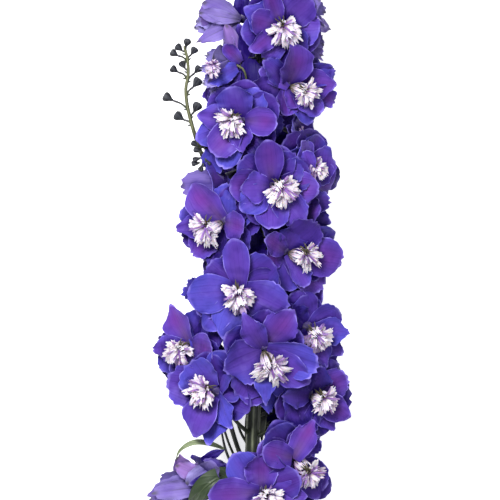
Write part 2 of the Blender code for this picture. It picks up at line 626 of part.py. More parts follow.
def grow_sepals(bed: Bed, floret: Floret) -> None:
    """A floret's sepals, each with the first lift and reach that keeps it clear of other nodes."""
    draw = random.Random(floret.name)
    sepals = floret.sepals or floret.ring or regular_sepals(floret, draw)
    put = seen_blade if floret.sepals else ring_blade
    spindle = SHORT_SPINDLE if floret.sepals or floret.ring else LOBE_SPINDLE
    for sepal in sepals:
        form = (draw.uniform(-0.02, 0.07), draw.uniform(0.05, 0.28), draw.uniform(-0.35, 0.35))
        for reach, lift in ((r, t) for r in REACH_TRIES for t in LIFT_TRIES):
            blade = put(floret, sepal, lift, reach, form)
            if not bed.hits(floret.name, blade_shape(blade, spindle, SEPAL_THICKNESS, GAP)):
                bed.add(floret.name, blade_shape(blade, spindle, SEPAL_THICKNESS))
                break


def finish(name: str, colour: tuple, roughness: float) -> bpy.types.Material:
    """A plain Principled finish, made once."""
    known = bpy.data.materials.get(name)
    if known:
        return known
    material = bpy.data.materials.new(name)
    material.use_nodes = True
    shader = material.node_tree.nodes["Principled BSDF"]
    shader.inputs["Base Color"].default_value = (*colour, 1.0)
    shader.inputs["Roughness"].default_value = roughness
    shader.inputs["Metallic"].default_value = 0.0
    return material


def solid_object(name: str, shape: tuple, home: Vector) -> bpy.types.Object:
    """A mesh object of a shape, with its origin at home."""
    mesh = bpy.data.meshes.new(name)
    mesh.from_pydata([(p - home) * MM for p in shape[0]], [], shape[1])
    solid = bpy.data.objects.new(name, mesh)
    solid.location = home * MM
    return solid


def faults(mesh: bpy.types.Mesh) -> tuple:
    """How many edges of a mesh are open or shared by more than two faces, and how many bodies it is."""
    bm = bmesh.new()
    bm.from_mesh(mesh)
    loose = sum(1 for e in bm.edges if len(e.link_faces) != 2)
    left, bodies = set(bm.faces), 0
    while left:
        bodies += 1
        front = [left.pop()]
        while front:
            near = {n for f in front for e in f.edges for n in e.link_faces}
            front = [f for f in near if f in left]
            left.difference_update(front)
    bm.free()
    return loose, bodies


def clean(mesh: bpy.types.Mesh, merge: float) -> None:
    """Merges what lies closer than `merge` millimetres and splits the faces in triangles."""
    bm = bmesh.new()
    bm.from_mesh(mesh)
    bmesh.ops.remove_doubles(bm, verts=bm.verts, dist=merge * MM)
    bmesh.ops.triangulate(bm, faces=bm.faces)
    for face in bm.faces:
        face.material_index = 0
    bm.to_mesh(mesh)
    bm.free()
    mesh.materials.clear()


def fuse(name: str, shapes: list, home: Vector, paint: tuple, group: bpy.types.Collection) -> bpy.types.Object:
    """Joins a node's pieces in one body with a Boolean union on a collection."""
    cutters = bpy.data.collections.new(name + "_pieces")
    bpy.context.scene.collection.children.link(cutters)
    body = solid_object(name, shapes[0], home)
    group.objects.link(body)
    for i, shape in enumerate(shapes[1:]):
        cutters.objects.link(solid_object(f"{name}_piece_{i}", shape, home))
    union = body.modifiers.new("union", "BOOLEAN")
    union.operation = "UNION"
    union.operand_type = "COLLECTION"
    union.collection = cutters
    for solver, merge in FUSE_TRIES:
        union.solver = solver
        bpy.context.view_layer.update()
        mesh = bpy.data.meshes.new_from_object(body.evaluated_get(bpy.context.evaluated_depsgraph_get()))
        clean(mesh, merge)
        loose, bodies = faults(mesh)
        if not loose and bodies == 1:
            break
    body.modifiers.clear()
    body.data = mesh
    mesh.name = name
    for piece in list(cutters.objects):
        bpy.data.objects.remove(piece)
    bpy.data.collections.remove(cutters)
    mesh.materials.append(finish(*paint))
    return body


def main() -> None:
    """Places every piece, then joins each node's pieces."""
    for old in list(bpy.data.objects):
        bpy.data.objects.remove(old)
    group = bpy.data.collections.new("delphinium_spike")
    bpy.context.scene.collection.children.link(group)
    spike = bpy.data.objects.new("spike", None)
    group.objects.link(spike)

    florets = [*SEEN_FLORETS, *SIDE_FLORETS, *BACK_FLORETS, *top_florets()]
    bed = Bed()
    grow_stem(bed, florets)
    grow_side_shoot(bed)
    grow_leaf(bed, "bract", BRACT_STALK, BRACT_BLADES, 0.06)
    grow_leaf(bed, "leaf_left", LEFT_STALK, LEFT_BLADES, 0.05)
    grow_leaf(bed, "leaf_right", RIGHT_STALK, RIGHT_BLADES, 0.05)
    homes = {}
    for floret in florets:
        core, facing = floret_core(floret), facing_vector(floret.facing, floret.nod)
        homes[floret.name] = core
        bed.add(floret.name, core_shape(floret))
        node = floret.name.replace("floret", "bee") if floret.bee else floret.name
        homes[node] = core
        for shape in bee_shapes(floret, core, facing):
            bed.add(node, shape)
    for floret in florets:
        grow_sepals(bed, floret)

    paints = {"stem": STEM_GREEN, "side_shoot": SLATE, "bract": LEAF_GREEN, "leaf_left": LEAF_GREEN,
              "leaf_right": LEAF_GREEN}
    total = 0
    for node, shapes in bed.pieces.items():
        paint = paints.get(node, WHITE if node.startswith("bee") else VIOLET)
        home = homes.get(node, stem_axis(0))
        body = fuse(node, shapes, home, paint, group)
        body.parent = spike
        total += len(body.data.polygons)
    print("nodes", len(bed.pieces), "triangles", total)


main()
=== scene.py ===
"""Studio dress for the delphinium spike: fine sepals, bees, stems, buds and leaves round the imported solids.

The spike lies on its back on a pale floor. Its stem runs along +Y, +X is to the right and +Z is up, to
the camera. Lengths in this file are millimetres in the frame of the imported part, and become metres
where a mesh takes its points.
"""

import logging
import math
import random
from dataclasses import dataclass, field, replace
from enum import Enum
from typing import Optional, Union

import bpy
import numpy as np
from mathutils import Matrix, Vector
from mathutils.bvhtree import BVHTree
from mathutils.kdtree import KDTree

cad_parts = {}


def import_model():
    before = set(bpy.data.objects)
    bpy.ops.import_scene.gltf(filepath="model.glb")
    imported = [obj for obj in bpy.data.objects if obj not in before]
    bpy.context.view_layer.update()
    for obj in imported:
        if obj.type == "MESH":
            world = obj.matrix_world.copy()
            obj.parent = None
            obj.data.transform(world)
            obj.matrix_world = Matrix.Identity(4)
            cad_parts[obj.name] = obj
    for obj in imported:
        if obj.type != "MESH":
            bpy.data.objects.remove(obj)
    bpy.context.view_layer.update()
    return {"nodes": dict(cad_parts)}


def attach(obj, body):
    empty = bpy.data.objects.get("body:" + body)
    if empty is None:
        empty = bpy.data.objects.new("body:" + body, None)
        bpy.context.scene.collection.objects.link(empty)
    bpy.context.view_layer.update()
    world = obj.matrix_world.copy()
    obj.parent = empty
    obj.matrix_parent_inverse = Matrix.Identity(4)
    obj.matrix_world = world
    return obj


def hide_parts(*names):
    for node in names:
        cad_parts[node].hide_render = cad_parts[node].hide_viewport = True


LOG = logging.getLogger("delphinium")

MM = 0.001

# The photograph's frame, for what is placed by a pixel of it
MM_PER_PIXEL = 0.6
STEM_PIXEL_X = 255
BOTTOM_PIXEL_Y = 500
CENTRE_X = -2.0
CENTRE_Y = 174.0

# Stem: stations along its axis, from the cut end to the tip
STEM_Y = (-88, -40, 0, 42, 100, 150, 220, 300, 350, 400, 436)
STEM_X = (-5, -3, -2, -1.2, 1, 2.5, 3, 3, 4, 6, 9)
STEM_Z = (33, 36, 37, 38, 38, 38, 38, 38, 37, 34, 30)
AXIS_HEIGHT = 38.0
STEM_RADIUS = (5.0, 4.8, 4.6, 4.4, 4.1, 3.9, 3.4, 2.8, 2.3, 1.5, 0.9)

# Sepals as the solids have them
UPPER_LIFT = 7
WIDEST_AT = 0.62
CLAW_SHARE = 0.20
LOWEST_MIDDLE = 0.1

# Florets with no further sepals under their own
NO_UNDER_RING = ("floret_14", "floret_23")

# Floret core and spur, whose outline is pairs: a share of its length, and its radius as a share of the core's
CORE_FRONT = 4.4
SPUR_TIP = 1.0
SPUR_LENGTH = 15.0
SPUR_RISE = 0.42
GAP = 0.3
SPUR_OUTLINE = ((0.10, 0.40), (0.16, 0.80), (0.25, 0.84), (0.45, 0.62), (0.75, 0.36), (1.0, 0.2))

# Where a sepal that the solids leave out is widest
STRAY_WIDEST = 0.55

# A tube's pattern: how far its end is inset, and how many ribs a grooved one has
TUBE_INSET = 0.25
RIB_COUNT = 9

# Marks of a bee's petals for their finish: the shade of its dark streaks, how olive a petal's foot is, and
# how lilac a bee is that shows its edge
STREAK_SHADE = 0.85
OLIVE_FOOT = 0.85
EDGE_LILAC = 0.3

# Finer pieces: sheets are this thick at their middle
FINE_SEPAL = 0.55
FINE_TONGUE = 0.45
FINE_LEAF = 0.7


class Tone(Enum):
    """Colourings of a sepal: its magenta blush, how blue it is, and how deep its painted shade is."""

    VIOLET = (0.15, 0.0, 0.05)
    PURPLE = (0.75, -0.35, 0.1)
    MAGENTA = (1.0, -0.5, 0.0)
    BLUE = (0.0, 0.5, 0.05)
    BRIGHT = (0.0, 0.9, 0.0)
    DEEP = (0.1, 0.25, 0.42)
    # mostly painted shade over a bluer violet
    NAVY = (0.0, 0.3, 0.75)
    # painted shade all through: for dark sheets where only shade shows between florets
    BLACK = (0.0, 0.0, 1.0)
    HAZE = (0.3, 0.2, 0.42)
    WINE = (0.9, -0.4, 0.34)
    DUSK = (0.1, 0.25, 0.22)


@dataclass(frozen=True)
class Sepal:
    """A sepal as it shows from above, or for a ring in its floret's own plane.

    Its direction is in degrees round the core, 0 to the right and 90 to the tip, its lift in degrees over
    the plane across the floret's facing, and its reach runs from the core to its tip. The fine sepal is
    `full` times as wide as its solid and `long` times as long, turned round the core by `turn` degrees and
    lifted by `rise` degrees. A tone or curl of None and a point below 0 are drawn at random.
    """

    direction: float
    reach: float
    width: float
    lift: float
    tone: Optional[Tone] = None
    full: float = 1.0
    point: float = -1.0
    long: float = 1.0
    turn: float = 0.0
    curl: Optional[float] = None
    rise: float = 0.0


# Short name for the many rows below
S = Sepal


@dataclass(frozen=True)
class Floret:
    """A floret by the pixel where its core shows, and the way that it faces."""

    name: str
    pixel: tuple[float, float]
    depth: float
    facing: float
    nod: float = -8.0
    bee: tuple = ()
    sepals: tuple = ()
    ring: tuple = ()
    count: int = 5
    size: float = 1.0
    lift: float = 6.0

    def core(self) -> Vector:
        """The middle of the core's front."""
        return place(self.pixel, AXIS_HEIGHT + self.depth)

    def way(self) -> Vector:
        """The direction that the floret faces."""
        turn, tip = math.radians(self.facing), math.radians(self.nod)
        return Vector((math.sin(turn) * math.cos(tip), math.sin(tip), math.cos(turn) * math.cos(tip)))

    def spur(self) -> Vector:
        """The direction of the spur.

        Returns:
            A way back, and up toward the tip.
        """
        facing = self.way()
        right = Vector((0, 1, 0)).cross(facing).normalized()
        return (facing.cross(right) * SPUR_RISE - facing).normalized()


@dataclass(frozen=True)
class Stray:
    """A sepal by the pixels and heights of its root and tip, where the solids leave it out."""

    root: tuple[float, float, float]
    tip: tuple[float, float, float]
    width: float
    tone: Tone = Tone.VIOLET
    back: bool = False
    arch: float = 0.06
    cup: float = 0.2
    claw: float = 0.45
    point: float = 0.0
    frill: float = 0.0
    curl: Optional[float] = None

    def blade(self) -> "Blade":
        """Its plain form."""
        return Blade.upward(spot(self.root), spot(self.tip), self.width, self.arch, self.cup, 0.0,
                            self.claw, STRAY_WIDEST)


@dataclass(frozen=True)
class Blade:
    """The plain form of a thin sheet along a line from its root, which looks toward `face`."""

    root: Vector
    along: Vector
    face: Vector
    length: float
    width: float
    arch: float = 0.0
    cup: float = 0.0
    twist: float = 0.0
    claw: float = CLAW_SHARE
    widest: float = WIDEST_AT

    @classmethod
    def upward(cls, root: Vector, tip: Vector, width: float, *form: float) -> "Blade":
        """A blade that looks up, as far as its slope lets it.

        Args:
            root: where it starts.
            tip: where it ends.
            width: its greatest width.
            form: its arch, cup, twist, claw and widest place.

        Returns:
            The blade.
        """
        along = (tip - root).normalized()
        face = (Vector((0, 0, 1)) - along * along.z).normalized()
        return cls(root, along, face, (tip - root).length, width, *form)


@dataclass(frozen=True)
class Edge:
    """What a fine sheet has over its plain form: waves and teeth at the rim, a crease and a curled tip."""

    ruffle: float = 0.6
    waves: float = 5.0
    phase: float = 0.0
    teeth: float = 0.03
    tooth_count: float = 9.0
    crease: float = 0.3
    curl: float = 0.0
    notch: float = 0.0
    point: float = 0.0
    fold: float = 0.0
    rounding: float = 0.19
    dent: float = 0.16


# Florets that face the camera, with their sepals as they show from above
SEEN_FLORETS = (
    Floret("floret_11", (264, 350), 37, 2, -22, (270, 368), (
        S(205, 27, 23, 12, Tone.DUSK, 1.1), S(120, 24, 15, 14, Tone.VIOLET, 0.95),
        S(55, 29, 17, 2, Tone.PURPLE, 1.1), S(-15, 34, 18, 8, Tone.BLUE, 1.1),
        S(245, 33, 20, 2, Tone.VIOLET), S(272, 36, 13, 14, Tone.BRIGHT, 1.0, 0.7),
        S(-68, 34, 12, 4, Tone.BLUE, 1.1, 0.3), S(-37, 35, 17, 12, Tone.VIOLET, 1.05))),
    Floret("floret_04", (272, 186), 33, 5, -6, (283, 192), (
        S(185, 19, 18, 14, Tone.VIOLET), S(96, 28, 16, 10, Tone.WINE, 1.0, 0.0),
        S(180, 26, 19, 0, Tone.PURPLE), S(218, 24, 15, 8, Tone.BLUE, 1.1),
        S(270, 27, 17, 2, Tone.VIOLET, 1.15, 0.0, turn=-2, rise=12),
        S(-50, 31, 17, 12, Tone.VIOLET, 1.05, 0.0, 0.94, rise=-9), S(-4, 29, 19, 3, Tone.PURPLE),
        S(55, 24, 22, -4, Tone.DEEP))),
    Floret("floret_08", (240, 290), 31, -5, -8, (239, 299), (
        S(97, 31, 18, 12, Tone.VIOLET, 0.82, 0.0), S(186, 32, 19, 10, Tone.BLUE, 1.15),
        S(205, 30, 15, 0, Tone.VIOLET), S(250, 31, 18, 12, Tone.BRIGHT, 1.2, 0.5),
        S(228, 32, 13, 4, Tone.BLUE, 1.2), S(-12, 31, 19, 10, Tone.DUSK, 1.2, 0.0, turn=-12, curl=-0.2),
        S(-62, 25, 18, 2, Tone.BLUE), S(40, 27, 21, 0, Tone.DEEP, 1.1))),
    Floret("floret_15", (262, 492), 31, 2, -6, (270, 497), (
        S(128, 32, 18, 2, Tone.BLUE, 1.1, 0.0, 0.9), S(92, 25, 17, 12, Tone.PURPLE, 1.1, 0.0, 0.9),
        S(170, 34, 21, 10, Tone.PURPLE, 0.95, 0.0, 0.98, turn=15), S(215, 30, 18, 2, Tone.PURPLE),
        S(262, 30, 19, 12), S(-50, 30, 18, 4), S(-5, 27, 17, 12, Tone.VIOLET),
        S(50, 22, 16, 0, Tone.PURPLE))),
    Floret("floret_14", (294, 457), 25, 25, -12, (313, 474), (
        S(40, 24, 16, 10, Tone.VIOLET, 0.8, 0.0, 0.8), S(130, 20, 22, 2, Tone.DEEP, 1.0, 0.0, 1.2),
        S(168, 20, 17, 12, Tone.PURPLE, 1.1, 0.0, 1.15), S(235, 21, 15, 4, Tone.VIOLET),
        S(270, 27, 11, 14, Tone.PURPLE), S(-60, 30, 18, 4, Tone.VIOLET),
        S(-22, 28, 18, 0, Tone.VIOLET, 1.0, 0.0, 0.95, turn=-20),
        S(80, 20, 15, 14, Tone.MAGENTA, 0.8, 0.5))),
    Floret("floret_03", (242, 121), 28, -20, -4, (230, 125), (
        S(106, 22, 18, 10, Tone.DEEP, 1.1, 0.0), S(173, 26, 14, 10, Tone.VIOLET, 1.1, 0.4, 1.06),
        S(202, 27, 15, 0, Tone.BLUE, 1.0, 0.0, 1.1), S(228, 27, 16, 12, Tone.PURPLE, 1.1),
        S(248, 31, 15, -2, Tone.BRIGHT), S(268, 19, 13, 12, Tone.VIOLET),
        S(-2, 26, 19, 10, Tone.PURPLE, 0.85, 0.0, 0.84), S(60, 22, 17, 0, Tone.BLUE))),
    Floret("floret_01", (282, 27), 27, 15, -4, (287, 31), (
        S(169, 20, 14, 14, Tone.PURPLE, 1.1), S(155, 25, 17, 0, Tone.BLUE, 1.15),
        S(220, 24, 11, 12, Tone.PURPLE), S(243, 22, 15, 0, Tone.VIOLET),
        S(4, 23, 21, 4, Tone.VIOLET, 1.1), S(-45, 22, 14, 10, Tone.DEEP), S(88, 26, 17, 2, Tone.MAGENTA),
        S(112, 24, 9, 14, Tone.PURPLE, 1.2))),
    Floret("floret_12", (212, 393), 22, -33, -4, (195, 390), (
        S(125, 23, 22, 8, Tone.BLUE), S(178, 27, 23, 6, Tone.VIOLET, 1.0, 0.0, turn=-12),
        S(246, 29, 17, 10, Tone.VIOLET, 1.1, 0.3), S(268, 33, 15, 0, Tone.BRIGHT, 1.2, 0.8),
        S(70, 27, 17, 4, Tone.BLUE), S(-62, 24, 12, 4, Tone.BRIGHT), S(20, 20, 18, -2, Tone.DEEP),
        S(212, 26, 16, -2, Tone.VIOLET, 1.0, 0.0, 0.72))),
    Floret("floret_02", (290, 86), 23, 35, -4, (309, 93), (
        S(74, 26, 17, 10, Tone.WINE, 1.0, 0.0, 0.95, turn=6, curl=-0.5),
        S(130, 25, 15, 0, Tone.DEEP, 0.8, 0.0, 0.8, turn=4, curl=-0.4), S(262, 18, 12, 4, Tone.PURPLE),
        S(285, 14, 10, 14, Tone.PURPLE), S(-62, 26, 11, 4, Tone.BLUE),
        S(-42, 25, 12, 12, Tone.VIOLET, 1.1), S(3, 28, 18, 10, Tone.PURPLE),
        S(24, 28, 12, 0, Tone.DEEP))),
    Floret("floret_07", (288, 252), 24, 33, -6, (309, 259), (
        S(-8, 33, 21, 10, Tone.PURPLE, 1.05, 0.0, 1.07), S(20, 33, 15, 0, Tone.DEEP, 1.1, 0.0, 1.05),
        S(75, 18, 16, 12, Tone.DEEP), S(-46, 35, 20, 2, Tone.PURPLE), S(-62, 24, 12, 14, Tone.VIOLET),
        S(-90, 24, 17, 4, Tone.BLUE), S(150, 17, 13, 10, Tone.PURPLE), S(200, 14, 13, 0, Tone.MAGENTA))),
    Floret("floret_13", (312, 396), 16, 30, -4, (325, 402), (
        S(18, 26, 18, 6, Tone.PURPLE, 1.0, 0.0, 0.92, turn=9), S(-30, 27, 15, 12, Tone.PURPLE, 1.0, 0.3),
        S(-56, 26, 12, 2, Tone.VIOLET), S(225, 22, 19, 0, Tone.DEEP), S(70, 19, 15, 10, Tone.DEEP),
        S(128, 18, 14, 0, Tone.DEEP), S(180, 18, 14, 12, Tone.DEEP), S(-92, 20, 14, -2, Tone.VIOLET))),
    Floret("floret_09", (310, 330), 14, 32, -4, (320, 338), (
        S(28, 22, 18, 6, Tone.DEEP), S(-4, 24, 16, 12, Tone.BLUE), S(-36, 26, 14, 2, Tone.VIOLET),
        S(-65, 26, 12, 10, Tone.VIOLET), S(180, 15, 15, 0, Tone.DEEP), S(232, 13, 10, 12, Tone.DEEP),
        S(95, 24, 18, 4, Tone.DEEP, 0.95, -1.0, 0.88), S(135, 19, 15, -2, Tone.NAVY))),
    Floret("floret_06", (222, 222), 18, -34, -4, (208, 232), (
        S(130, 29, 16, 10, Tone.MAGENTA, 1.12, 0.0, turn=-2, rise=5),
        S(188, 26, 13, 12, Tone.VIOLET, 1.1, 0.4, 1.08), S(168, 24, 13, -2, Tone.BLUE, 1.0, 0.0, 1.1),
        S(225, 27, 17, 6, Tone.PURPLE), S(262, 31, 15, 0, Tone.VIOLET),
        S(-15, 20, 16, 12, Tone.PURPLE, 1.0, 0.0, 0.72), S(82, 23, 13, 4, Tone.BRIGHT),
        S(30, 22, 18, -2, Tone.BLUE))),
    Floret("floret_10", (188, 345), 7.5, -42, -6, (175, 353), (
        S(116, 27, 15, 10, Tone.MAGENTA, 1.0, 0.8), S(158, 22, 14, 0, Tone.PURPLE, 0.75, 0.5, turn=12),
        S(190, 22, 15, 12, Tone.VIOLET), S(218, 23, 14, 2, Tone.BLUE),
        S(-15, 17, 15, 10, Tone.PURPLE, 1.15), S(68, 22, 15, -2, Tone.BLUE),
        S(262, 23, 15, 4, Tone.VIOLET), S(-55, 20, 14, 0, Tone.PURPLE))),
    Floret("floret_05", (308, 165), 11, 48, -6, (318, 167), (
        S(0, 18, 22, 10, Tone.VIOLET), S(-48, 21, 18, 2, Tone.PURPLE),
        S(62, 20, 15, 2, Tone.HAZE, 0.8, 0.0, 0.95, turn=16), S(104, 15, 13, 14, Tone.VIOLET, 0.8),
        S(-96, 18, 14, 10, Tone.VIOLET), S(150, 13, 12, 4, Tone.BRIGHT)), size=0.9),
    Floret("floret_23", (200, 476), 2, -48, -30, (), (
        S(204, 31, 21, 8, Tone.VIOLET, 0.9), S(146, 17, 15, 14, Tone.MAGENTA, 0.9),
        S(24, 17, 13, 12, Tone.DEEP), S(246, 24, 18, 0), S(86, 15, 13, 2, Tone.NAVY, 1.0, 0.0, 0.65))),
)

# Florets that show from the side or only in part, their sepals by direction in the floret's own plane
SIDE_FLORETS = (
    Floret("floret_16", (237, 64), 9, -78, 4, size=0.9, ring=(
        S(72, 25, 14, 12), S(108, 26, 12, 24), S(8, 27, 18, 48), S(322, 27, 17, 44), S(276, 26, 16, 36),
        S(205, 25, 17, 30))),
    Floret("floret_17", (238, 18), 5, -92, 2, size=0.9, ring=(
        S(62, 25, 18, 50), S(6, 28, 19, 54), S(300, 27, 18, 50), S(236, 26, 16, 38), S(122, 26, 16, 44))),
    Floret("floret_18", (300, 4), 7, 70, 6, size=0.85, ring=(
        S(176, 25, 18, 36), S(112, 25, 16, 30), S(236, 26, 17, 40), S(302, 24, 16, 30),
        S(50, 24, 16, 34))),
    Floret("floret_20", (298, 132), 3, 62, 10, size=0.85, ring=(
        S(150, 22, 16, 34), S(90, 22, 15, 30), S(206, 24, 17, 30), S(30, 24, 16, 26),
        S(268, 20, 15, 30))),
    Floret("floret_21", (224, 180), 4, -72, -10, size=0.9, ring=(
        S(14, 27, 21, 44), S(318, 26, 17, 40), S(262, 25, 16, 30), S(196, 25, 17, 26),
        S(120, 24, 16, 26))),
    Floret("floret_22", (300, 214), 2, 80, -8, size=0.9, lift=26),
    Floret("floret_24", (214, 282), -10, -108, 0, size=0.9, lift=14),
    Floret("floret_25", (305, 292), -4, 100, 0, size=0.86, lift=18),
    Floret("floret_26", (306, 362), -12, 112, 0, size=0.9, lift=12),
    Floret("floret_27", (216, 108), -8, -112, 0, size=0.86, lift=14),
    Floret("floret_29", (286, 480), -14, 126, 0, size=0.9),
)

# Florets behind the stem, which the spike rests on
BACK_FLORETS = (
    Floret("floret_30", (258, 66), -20, -170, 0, size=0.92),
    Floret("floret_31", (268, 140), -21, 168, 0, size=0.96),
    Floret("floret_32", (246, 196), -19.5, -158, 0, size=0.96),
    Floret("floret_33", (268, 246), -19, 158, 0, size=1.0),
    Floret("floret_34", (258, 318), -20, -166, 0, size=1.0),
    Floret("floret_35", (272, 384), -23, 160, 0, size=0.94),
)

# Florets past the photograph's upper edge
TOP_COUNT = 7
TOP_START_Y = 318.0
TOP_STEP_Y = 10.0
TOP_FIRST_SIZE = 0.80
TOP_LAST_SIZE = 0.40
TOP_RADIUS = 26.0
TOP_FIRST_TURN = 20.0
GOLDEN_ANGLE = 137.5

# Sepals that the solids leave out, by floret. The near-black ones, and the navy ones marked so, are dark
# sheets of painted shade over gaps where only shade shows.
STRAY_SEPALS: dict[str, tuple] = {
    "floret_17": (
        Stray((240, 22, 44), (243, -8, 47), 10, Tone.NAVY),
        Stray((241, 19, 50), (202, 2, 58), 13, Tone.VIOLET, True, arch=0.1, claw=0.25),
        Stray((240, 20, 52), (198, 13, 60), 9, Tone.VIOLET, True, arch=0.08, claw=0.2),
        Stray((239, 21, 47), (197, 21, 54), 11, Tone.BRIGHT, True, arch=0.08, claw=0.3),
        Stray((237, 21, 44), (195, 28, 50), 10, Tone.BRIGHT, True, frill=0.5, claw=0.3),
        Stray((238, 21, 50), (197, 42, 57), 11, Tone.VIOLET, True, point=0.5)),
    "floret_16": (
        Stray((241, 62, 50), (240, 24, 58), 9, Tone.DUSK),
        Stray((240, 62, 52), (226, 24, 61), 9, Tone.PURPLE, True),
        Stray((243, 62, 52), (248, 22, 62), 9, Tone.NAVY),
        Stray((241, 62, 54), (223, 44, 62), 9, Tone.PURPLE),
        Stray((236, 64, 51), (206, 54, 55), 12, Tone.BRIGHT, True, frill=0.4),
        Stray((226, 70, 60), (201, 68, 61), 8, Tone.BRIGHT, True, frill=1.4),
        Stray((226, 76, 60), (203, 84, 61), 8, Tone.BRIGHT, True, frill=1.4),
        Stray((237, 67, 58), (206, 80, 62), 14, Tone.BRIGHT, frill=0.6),
        Stray((236, 68, 52), (212, 98, 54), 12, Tone.BRIGHT, True, frill=0.5),
        Stray((238, 70, 56), (226, 96, 58), 9, Tone.DEEP)),
    "floret_18": (
        Stray((296, 2, 46), (325, 12, 52), 12, Tone.BRIGHT, True, frill=0.6),
        Stray((300, 6, 42), (322, 25, 46), 9, Tone.BRIGHT, True, frill=0.6),
        Stray((300, 30, 38), (325, 45, 46), 10, Tone.BRIGHT, True, frill=0.8),
        Stray((300, 36, 36), (323, 56, 46), 10, Tone.VIOLET, True, frill=0.8)),
    "floret_02": (
        Stray((288, 88, 62), (259, 68, 60), 9, Tone.VIOLET, curl=-0.3),
        Stray((286, 91, 61), (279, 116, 58), 11, Tone.PURPLE),
        Stray((303, 84, 54), (336, 70, 44), 12, Tone.BLUE, frill=0.8),
        Stray((304, 90, 52), (336, 100, 42), 12, Tone.PURPLE, frill=0.6)),
    "floret_03": (
        Stray((258, 122, 52), (284, 124, 50), 16, Tone.BLUE, frill=0.8),
        Stray((240, 126, 60), (243, 151, 61), 9, Tone.BRIGHT, point=0.9),
        Stray((227, 140, 50), (207, 171, 46), 16, Tone.BRIGHT, frill=0.5),
        Stray((232, 140, 48), (233, 168, 46), 10, Tone.DEEP)),
    "floret_05": (
        Stray((312, 170, 56), (305, 150, 60), 9, Tone.VIOLET),),
    "floret_21": (
        Stray((224, 182, 46), (180, 186, 48), 17, Tone.HAZE, True, frill=0.4),),
    "floret_22": (
        Stray((300, 204, 44), (331, 200, 42), 13, Tone.VIOLET, frill=0.9),
        Stray((300, 212, 42), (330, 224, 40), 13, Tone.HAZE, frill=0.9)),
    "floret_32": (
        # painted shade: a near-black sheet over the stem, where a dark hole shows
        Stray((248, 228, 46), (260, 256, 45), 13, Tone.BLACK, claw=0.8),),
    "floret_25": (
        # painted shade: a navy sheet over a gap that would show the floor
        Stray((280, 285, 44), (294, 303, 42), 10, Tone.NAVY, claw=0.7),),
    "floret_29": (
        Stray((298, 478, 32), (332, 493, 28), 17, Tone.VIOLET, frill=0.3),),
    "floret_31": (
        # painted shade: near-black sheets over the stem, in the dark gap between florets
        Stray((252, 100, 52), (250, 58, 53), 15, Tone.BLACK),
        Stray((262, 96, 46), (264, 60, 48), 10, Tone.BLACK)),
    "floret_08": (
        Stray((232, 304, 62), (221, 338, 58), 19, Tone.BRIGHT, point=0.4),
        Stray((258, 288, 50), (267, 250, 50), 20, Tone.NAVY),
        Stray((256, 288, 54), (262, 256, 55), 15, Tone.BLUE),
        Stray((205, 296, 56), (184, 285, 52), 14, Tone.BLUE, frill=0.7)),
    "floret_12": (
        Stray((216, 374, 50), (219, 343, 52), 9, Tone.BRIGHT),
        Stray((206, 368, 44), (196, 322, 44), 13, Tone.BLUE, frill=0.4)),
    "floret_11": (
        Stray((258, 372, 62), (250, 406, 62), 17, Tone.VIOLET, frill=0.3),
        Stray((262, 374, 60), (270, 414, 58), 13, Tone.BRIGHT, point=0.5, frill=0.5)),
    "floret_26": (
        # painted shade: a near-black and a navy sheet behind the florets, where shade shows instead of the
        # floor
        Stray((280, 392, 28), (267, 430, 28), 15, Tone.BLACK, point=0.6),
        Stray((292, 396, 22), (288, 430, 20), 14, Tone.NAVY)),
    "floret_14": (
        Stray((290, 454, 62), (274, 420, 67), 20, Tone.DEEP, claw=0.6),
        Stray((292, 457, 71), (262, 450, 77), 17, Tone.WINE, claw=0.6),
        Stray((293, 458, 70), (315, 417, 75), 16, Tone.MAGENTA, claw=0.6, point=0.7)),
    "floret_23": (
        Stray((208, 480, 46), (148, 502, 40), 18, Tone.VIOLET, True, frill=0.3),
        Stray((208, 486, 48), (153, 494, 44), 12, Tone.VIOLET, True, frill=0.2),
        Stray((206, 480, 50), (176, 466, 53), 11, Tone.MAGENTA, True),
        Stray((214, 464, 52), (186, 484, 55), 10, Tone.BRIGHT, True, frill=0.3),
        Stray((201, 460, 50), (225, 450, 54), 5.5, Tone.NAVY, point=0.5),
        Stray((228, 468, 52), (203, 463, 57), 8, Tone.DEEP, True, frill=1.2),
        # painted shade: a narrow navy sheet along the leaf's edge, for the shadow in the gap there
        Stray((226, 467, 60), (190, 484, 62), 4.5, Tone.NAVY, claw=0.7)),
}

# Florets that show the paler backs of their sepals
PALE_BACKS = ("floret_16", "floret_17", "floret_18", "floret_23")

# Hidden florets whose fine sepals are a little shorter than their solids
SHORTER = {"floret_20": 0.6, "floret_24": 0.62, "floret_25": 0.58, "floret_26": 0.85, "floret_27": 0.6}

# Sepals' gaps that stay open, by floret: directions in degrees
OPEN_GAPS = {"floret_02": (102,), "floret_05": (31,), "floret_06": (7, 106, 149), "floret_07": (175,),
             "floret_08": (68,), "floret_09": (61,), "floret_10": (92, 137), "floret_12": (195, 229),
             "floret_15": (149,)}

# How much larger or smaller than the usual a bee is, and how far right and down its petals sit
BEE_FORMS = {
    "floret_01": (1.08, -0.6, 0.0), "floret_02": (1.02, 3.6, 1.8), "floret_03": (1.1, -2.7, -1.5),
    "floret_04": (1.2, 2.7, -0.5), "floret_05": (0.92, 1.2, 0.4), "floret_06": (1.2, -5.4, 0.2),
    "floret_07": (0.96, 5.6, -0.6), "floret_08": (1.17, -0.6, 0.1), "floret_09": (1.1, 0.6, 1.5),
    "floret_10": (1.06, -1.6, 1.0), "floret_11": (1.35, 2.4, 3.8), "floret_12": (1.2, 0.9, -1.5),
    "floret_13": (1.08, 3.4, 0.3), "floret_14": (1.1, 4.5, 5.5), "floret_15": (1.15, 0.5, 1.7)}

# Small bees of side florets that show their edge: pixel, height, the way it faces and its size
EDGE_BEES = {"floret_16": ((214, 64), 68, -40, 0.68)}

